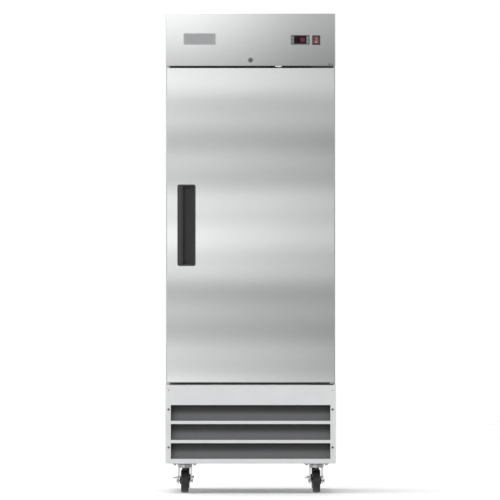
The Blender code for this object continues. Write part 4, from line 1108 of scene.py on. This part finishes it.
def fan_blades(name, node, body):
    """Axial fan: a domed hub and five swept, twisted blades."""
    centre = pivot_of(body)
    _, y, z = spans(node)
    tip = (z[1] - z[0]) / 2 * 0.985
    hub = 0.26 * tip
    depth = (y[1] - y[0]) / 2
    shape = bmesh.new()
    dome = (
        (0, -1), (0.5, -0.97), (0.85, -0.82), (1, -0.55), (1, 0.95), (0.9, 1), (0.25, 1), (0.25, 0.2),
        (0, 0.2),
    )
    add_turned(shape, "Y", centre, [(hub * wide, depth * deep) for wide, deep in dome], 36)
    steps, blades, root = 7, 5, hub * 0.96
    for blade in range(blades):
        sheet = bmesh.new()
        grid = []
        for share in evenly((0, 1), steps + 1):
            radius = root + (tip - root) * share
            pitch = math.radians(42 - 20 * share)
            chord = tip * (0.52 + 0.34 * math.sin(math.pi * (0.15 + 0.7 * share)))
            sweep = 0.3 * share ** 1.5 + 2 * math.pi * blade / blades
            row = []
            for place in evenly(both(0.5), steps + 1):
                camber = 0.07 * chord * (0.25 - place * place) * 4
                lift = chord * place * math.sin(pitch) + camber
                lift = max(-0.95 * depth, min(0.95 * depth, lift))
                angle = sweep + chord * place * math.cos(pitch) / radius
                row.append(sheet.verts.new(spoke(centre, radius, angle, lift)))
            grid.append(row)
        for inner, outer in zip(grid, grid[1:]):
            for j in range(steps):
                sheet.faces.new((inner[j], outer[j], outer[j + 1], inner[j + 1]))
        bmesh.ops.recalc_face_normals(sheet, faces=sheet.faces)
        bmesh.ops.solidify(sheet, geom=sheet.faces[:], thickness=0.0012)
        mesh = mesh_of(sheet, "blade")
        stamp(shape, mesh, Matrix.Identity(4))
        bpy.data.meshes.remove(mesh)
    piece(name, shape, "black_plastic", body, [node], 50)


def finned_coil(name, fin_pitch, rows, columns):
    """Fin-and-tube coil: thin plates along X between two end plates, with hairpin bends at both ends."""
    node = f"{name}_coil"
    x, y, z = spans(node)
    end, clear = 0.014, 0.002
    fins = bmesh.new()
    low, high = shrunk(x, end)
    for place in evenly((low, high), int((high - low) / fin_pitch) + 1):
        add_block(fins, about(place, 0.0002), shrunk(y, 0.0006), shrunk(z, 0.0012))
    for place in (low - 0.001, high + 0.001):
        add_block(fins, about(place, 0.0008), y, z, 0.0003, 1)
    piece(f"{name}_fins", fins, "fins", replaces=[node])
    tubes = bmesh.new()
    step_y = (y[1] - y[0]) / columns
    step_z = (z[1] - z[0]) / rows
    radius = min(0.0045, 0.3 * step_y, 0.3 * step_z)
    for column in range(columns):
        across = y[0] + step_y * (column + 0.5)
        for row in range(rows):
            height = z[0] + step_z * (row + 0.5)
            add_tube(tubes, [(place, across, height) for place in (low - 0.003, high + 0.003)], radius, 8)
            if row < rows - 1:
                side, start = (1, high) if row % 2 == column % 2 else (-1, low)
                centre = (start + side * clear, height + step_z / 2)
                bend = arc(centre, (side * (end - clear - radius), step_z / 2), -90, 90, 8)
                add_tube(tubes, [(px, across, pz) for px, pz in bend], radius, 8)
    piece(f"{name}_tubes", tubes, "copper")


def evaporator():
    """The guard, screws and pressed beads of its cover, and the coil and fan behind it."""
    x, y, z = spans("evaporator_cover")
    fan_guard("evaporator_guard", (0.0, y[0] - 0.006, middle(z)), 0.088)
    fan_blades("evaporator_blades_fan", "evaporator_fan", "evaporator_blades")
    finned_coil("evaporator", 0.005, 5, 4)
    places = [(side * across, y[0], height) for side in SIDES for across in (0.115, 0.235)
              for height in shrunk(z, 0.015)]
    screws("evaporator_screws", places, "-Y")
    beads = bmesh.new()
    proud = -0.0012
    add_frame(beads, shrunk(x, 0.004), shrunk(z, 0.004), y[0], [
        (0.0, -0.0002), (0.0004, proud), (0.003, proud), (0.0034, -0.0002),
    ])
    for side in SIDES:
        for height in evenly(about(middle(z), 0.064), 5):
            depth = (y[0] - 0.004, y[0] + 0.0004)
            add_block(beads, sided(side, 0.145, 0.225), depth, about(height, 0.004), 0.0019, 3)
    piece("evaporator_cover_beads", beads, "aluminium")


# ---- Machine compartment ----

COMPRESSOR = (0.19, 0.12)
LINE_CORRIDOR = -0.1


def compressor():
    """Hermetic can with its weld seam, on grommets, with a terminal cover and the discharge line."""
    x, y = COMPRESSOR
    foot = spans("compressor")[2][0]
    can = bmesh.new()
    profile = mm(
        (0, 6), (60, 6), (82, 13), (91, 28), (94, 45), (94, 98.5), (98.5, 99.5), (98.5, 105.5), (93.5, 107),
        (92.5, 130), (89.5, 155), (82, 178), (68, 196), (48, 206), (18, 212.5), (0, 213),
    )
    add_turned(can, "Z", (x, y, foot), profile, 64)
    add_rod(can, "Z", (x - 0.035, y + 0.02, foot + 0.2), 0.01, 0.016, 24)
    add_block(can, about(x, 0.11), about(y, 0.08), (foot + 0.003, foot + 0.006), 0.0012)
    for across in about(x, 0.085):
        add_block(can, about(across, 0.01), about(y, 0.05), (foot + 0.004, foot + 0.03), 0.004, 3)
    piece("compressor_can", can, "black_paint", replaces=["compressor"], crease=35)

    grommets, bolts = bmesh.new(), bmesh.new()
    grommet = mm((10, 0), (10.5, 4), (8, 5), (10.5, 6), (10, 10.5), (6, 11))
    for across in about(x, 0.096):
        for back in about(y, 0.066):
            add_turned(grommets, "Z", (across, back, foot), grommet, 24)
            stamp(bolts, PLATE_BOLT, Matrix.Translation((across, back, foot + 0.0105)))
    piece("compressor_grommets", grommets, "tyre")
    piece("compressor_bolts", bolts, "zinc")

    cover = block((x + 0.08, x + 0.112), about(y, 0.03), (foot + 0.06, foot + 0.13), 0.005, 3)
    for k in range(4):
        add_block(cover, (x + 0.1115, x + 0.113), about(y, 0.02), about(foot + 0.075 + 0.012 * k, 0.0015))
    piece("compressor_terminal_cover", cover, "black_plastic")

    coil_x, coil_y, _ = spans("condenser_coil")
    column = (coil_x[1] + x) / 2 - 0.025
    route = [(x - 0.07, y), (x - 0.15, y), (x - 0.15, LINE_CORRIDOR), (column, LINE_CORRIDOR)]
    route += [(column, middle(coil_y)), (coil_x[1] - 0.004, middle(coil_y))]
    line = bmesh.new()
    add_tube(line, rounded([(*point, foot + 0.15) for point in route], 0.015, 5), 0.0038, 10)
    piece("discharge_line", line, "copper")


def shroud(name, node, radius):
    """A rolled lip round the hole of a fan plate."""
    x, y, z = spans(node)
    shape = bmesh.new()
    lip = mm((0, 0), (-0.6, 6), (0.6, 9), (1.8, 9), (1, 6), (4, 1.6), (4, 0))
    profile = [(radius + out, height) for out, height in lip]
    add_turned(shape, "Y", (middle(x), y[0] - 0.0002, middle(z)), profile, 64, looped=True)
    piece(name, shape, "black_paint")


def rear_cover():
    """A pressed hood over each slot of the rear cover, its screws and the gland's nut."""
    x, y, z = spans("rear_grille")
    back = y[1]
    hoods = bmesh.new()
    rows, pitch, slot_x, slot_z, out, inner = 8, 0.03, 0.13, 0.004, 0.0045, 0.0037
    for centre in both(0.15):
        for height in evenly(about(middle(z), pitch * (rows - 1) / 2), rows):
            top = (back, height + slot_z)
            outline = arc(top, (out, 0.007), 90, 0, 6)
            outline += [(back + out, height - slot_z), (back + inner, height - slot_z)]
            outline += arc(top, (inner, 0.0062), 0, 90, 6)
            add_prism(hoods, "X", outline, *about(centre, slot_x + 0.002))
            for end in SIDES:
                cap = sorted((centre + end * (slot_x + 0.002), centre + end * (slot_x + 0.0028)))
                rise = (height - slot_z, height + slot_z + 0.006)
                add_block(hoods, cap, (back - 0.0002, back + 0.0044), rise)
    piece("rear_hoods", hoods, "galvanised")
    places = [(side * across, back, height) for side in SIDES for across in (0.01, x[1] - 0.012)
              for height in shrunk(z, 0.012)]
    screws("rear_cover_screws", places, "+Y", mesh=PANEL_SCREW)
    gland_x, _, gland_z = spans("power_inlet")
    nut = bmesh.new()
    ring = mm((6, 0), (11.8, 0), (15, 1.2), (15, 4), (13.5, 5), (6, 5))
    add_turned(nut, "Y", (middle(gland_x), back + 0.001, middle(gland_z)), ring, 8)
    piece("gland_nut", nut, "black_plastic", crease=30)


# ---- CAD nodes that stay ----

# Each one's look, the rounding of its edges and, where it differs, the angle of a crease
KEPT = (
    ("rocker_switch_housing", "black_plastic", 0.0005), ("door_core", "foam"), ("door_liner", "inside"),
    ("evaporator_cover", "aluminium", 0.0004), ("evaporator_fan_motor", "black_paint", 0.0004),
    ("base_frame", "galvanised", 0.0005), ("condensate_pan", "galvanised", 0.0006),
    ("condenser_fan_motor", "black_paint", 0.0005), ("refrigerant_lines", "copper", 0.0, 50),
    ("rear_grille", "galvanised"), ("power_inlet", "black_plastic", 0.0005),
    ("upper_hinge_bracket", "hinge", 0.0008), ("lower_hinge_bracket", "hinge", 0.0008),
    ("lower_hinge_pin", "chrome", 0.0004), ("lock_barrel", "nickel", 0.0004, 30),
    ("lock_plug", "screw", 0.0003, 30), ("door_switch_housing", "white_plastic", 0.0005),
    ("door_switch_plunger", "white_plastic", 0.0006), ("inner_liner", "inside", 0.0015),
    ("foam_insulation", "foam"), ("door_handle", "pull", 0.0008), ("brake_lever_left", "zinc", 0.0005),
    ("brake_lever_right", "zinc", 0.0005),
)


def kept_nodes():
    """Looks of the CAD nodes that stay, and the screws of the hinge brackets."""
    for node in KEPT:
        finish_node(*node)
    for level in ("upper", "lower"):
        x, y, z = spans(f"{level}_hinge_bracket")
        height = z[1] - 0.02 if level == "upper" else z[0] + 0.018
        places = [(across, y[1] - 0.005, height) for across in evenly(shrunk(x, 0.018), 3)]
        screws(f"{level}_hinge_screws", places, "-Y")


# ---- Casters ----


def caster(corner):
    """Finer wheel, race and bolts, with the CAD plate, fork and axle kept."""
    for part, edge in (("plate", 0.0008), ("fork", 0.0007), ("axle", 0.0005)):
        finish_node(f"caster_{part}_{corner}", "zinc", edge)
    x, y, z = spans(f"caster_wheel_{corner}")
    centre = (middle(x), middle(y), middle(z))
    radius = (z[1] - z[0]) / 2
    hub = (x[1] - x[0]) / 2
    half, shoulder = 0.0165, 0.0065
    tyre = bmesh.new()
    tread = [(radius - 0.013, -half + 0.003), (radius - 0.012, -half + 0.0008), (radius - 0.009, -half)]
    tread += arc((radius - shoulder, shoulder - half), (shoulder, shoulder), -90, 0, 8)
    add_turned(tyre, "X", centre, mirrored(tread), 72)
    body = f"wheel_{corner}"
    piece(f"tyre_{corner}", tyre, "tyre", body, [f"caster_wheel_{corner}"], 35)
    core = bmesh.new()
    web = [
        (0.006, -hub), (0.012, -hub), (0.0135, -hub + 0.0015), (0.015, -half - 0.001),
        (0.017, -half + 0.0015), (0.031, -half + 0.004), (radius - 0.0135, -half + 0.0015),
        (radius - 0.0125, -half + 0.002),
    ]
    add_turned(core, "X", centre, mirrored(web), 48)
    piece(f"wheel_core_{corner}", core, "black_plastic", body, crease=35)

    plate_x, plate_y, plate_z = spans(f"caster_plate_{corner}")
    swivel = (middle(plate_x), middle(plate_y))
    race = bmesh.new()
    cup = mm((15, 10), (30, 10), (32.5, 8), (32.5, 3), (30.5, 0.6), (15, 0.6))
    add_turned(race, "Z", (*swivel, plate_z[0]), cup, 48)
    piece(f"swivel_race_{corner}", race, "zinc", crease=30)
    bolts = bmesh.new()
    for way_x in SIDES:
        for way_y in SIDES:
            place = (swivel[0] + way_x * 0.043, swivel[1] + way_y * 0.034, plate_z[1] - 0.004)
            turned = Matrix.Rotation(math.pi, 4, "X") @ Matrix.Rotation(way_x + 0.4 * way_y, 4, "Z")
            stamp(bolts, PLATE_BOLT, Matrix.Translation(place) @ turned)
    piece(f"plate_bolts_{corner}", bolts, "zinc", crease=30)
    kingpin = bmesh.new()
    fork_top = spans(f"caster_fork_{corner}")[2][1]
    add_turned(kingpin, "Z", (*swivel, fork_top - 0.0028), mm((0, -4.2), (6, -3.6), (8.5, 0)), 28)
    piece(f"kingpin_{corner}", kingpin, "zinc", f"swivel_{corner}")


def brake_ribs(side):
    """Ribs on the pedal of a brake lever."""
    x, _, z = spans(f"brake_lever_{side}")
    ribs = bmesh.new()
    for k in range(4):
        across = about(x[0] + 0.0035 + 0.0045 * k, 0.0008)
        add_block(ribs, across, (-0.2865, -0.2595), (z[1] - 0.0005, z[1] + 0.0008), 0.0004, 1)
    piece(f"brake_ribs_{side}", ribs, "zinc", f"brake_{side}")


# ---- Stage, lights and camera ----


def floor():
    """A pale floor that takes shadows, but is left out of the steel's reflections."""
    ground = placed("floor", mesh_of(block(both(14.0), (-5.2, 14.0), (-0.05, -0.0005)), "floor"))
    pale = surface("floor", (0.9, 0.9, 0.9), 0.65, 0.0, [((0.8,), (0.885, 0.885, 0.885))])
    ground.data.materials.append(pale)
    ground.visible_glossy = False


def soft_light(name, place, target, size, power):
    data = bpy.data.lights.new(name, "AREA")
    data.shape = "RECTANGLE"
    data.size, data.size_y = size
    data.energy = power
    light = placed(name, data)
    light.location = place
    light.rotation_mode = "QUATERNION"
    light.rotation_quaternion = (Vector(target) - Vector(place)).to_track_quat("-Z", "Y")
    light.visible_camera = False


def ramp_of(nodes, value, stops):
    """A level ramp over a value between -1 and 1, from (value, level) stops."""
    inputs = {"Fac": nodes.between(value, 0.0, 1.0, (-1.0, 1.0))}
    ramp = nodes.node("ValToRGB", inputs)
    ramp.color_ramp.interpolation = "B_SPLINE"
    elements = ramp.color_ramp.elements
    while len(elements) < len(stops):
        elements.new(0.5)
    for element, (place, level) in zip(elements, stops):
        element.position = (place + 1) / 2
        element.color = (level / RAMP_TOP, level / RAMP_TOP, level / RAMP_TOP, 1)
    return ramp.outputs["Color"]


def studio():
    """White surroundings for the eye; for reflections, soft level bands that are brighter on the left."""
    world = bpy.data.worlds.new("studio")
    bpy.context.scene.world = world
    nodes = Nodes(world)
    toward = nodes.split(nodes.node("TexCoord").outputs["Generated"])
    levels = [(math.sin(math.radians(elevation)), amount) for elevation, amount in LEVEL_BANDS]
    inputs = {
        "Factor": 1.0,
        "A": ramp_of(nodes, toward["Z"], levels),
        "B": ramp_of(nodes, toward["X"], SIDE_BANDS),
    }
    shade = nodes.node("Mix", inputs, data_type="RGBA", blend_type="MULTIPLY").outputs["Result"]
    bands = nodes.tree.nodes["Background"]
    nodes.feed(bands, {"Color": shade, "Strength": RAMP_TOP ** 2})
    white = nodes.node("Background", {"Color": (1, 1, 1, 1)})
    seen = nodes.node("LightPath").outputs["Is Camera Ray"]
    mixed = nodes.node("MixShader", {0: seen, 1: bands.outputs["Background"], 2: white.outputs["Background"]})
    nodes.feed(nodes.tree.nodes["World Output"], {"Surface": mixed.outputs["Shader"]})

    soft_light("key", (-2.2, -3.2, 3.6), (0, 0, 1.0), (1.6, 1.2), 22)
    soft_light("overhead", (0.0, 0.2, 4.6), (0, 0, 0), (4.5, 4.5), 62)


def camera():
    data = bpy.data.cameras.new("camera")
    data.sensor_width = SENSOR
    data.lens = SENSOR * CAMERA_DISTANCE / VIEW_WIDTH
    eye = placed("camera", data)
    eye.location = (VIEW_ASIDE, FACE - CAMERA_DISTANCE, VIEW_HEIGHT_ABOVE_FLOOR)
    eye.rotation_euler = (math.pi / 2, 0, 0)
    bpy.context.scene.camera = eye
    bpy.context.scene.view_settings.view_transform = "Standard"


def main():
    camera()
    casing()
    back_sheet()
    header()
    badge()
    controller()
    rocker()
    door_leaf()
    door_inside()
    grille()
    louvers()
    slotted_standards()
    for node in SHELVES:
        shelf(node)
    shelf_clips()
    lamp()
    evaporator()
    fan_blades("condenser_blades_fan", "condenser_fan", "condenser_blades")
    shroud("condenser_shroud", "condenser_fan_motor", 0.129)
    finned_coil("condenser", 0.0032, 9, 2)
    compressor()
    rear_cover()
    kept_nodes()
    for corner in CORNERS:
        caster(corner)
    for side in ("left", "right"):
        brake_ribs(side)
    floor()
    studio()


main()
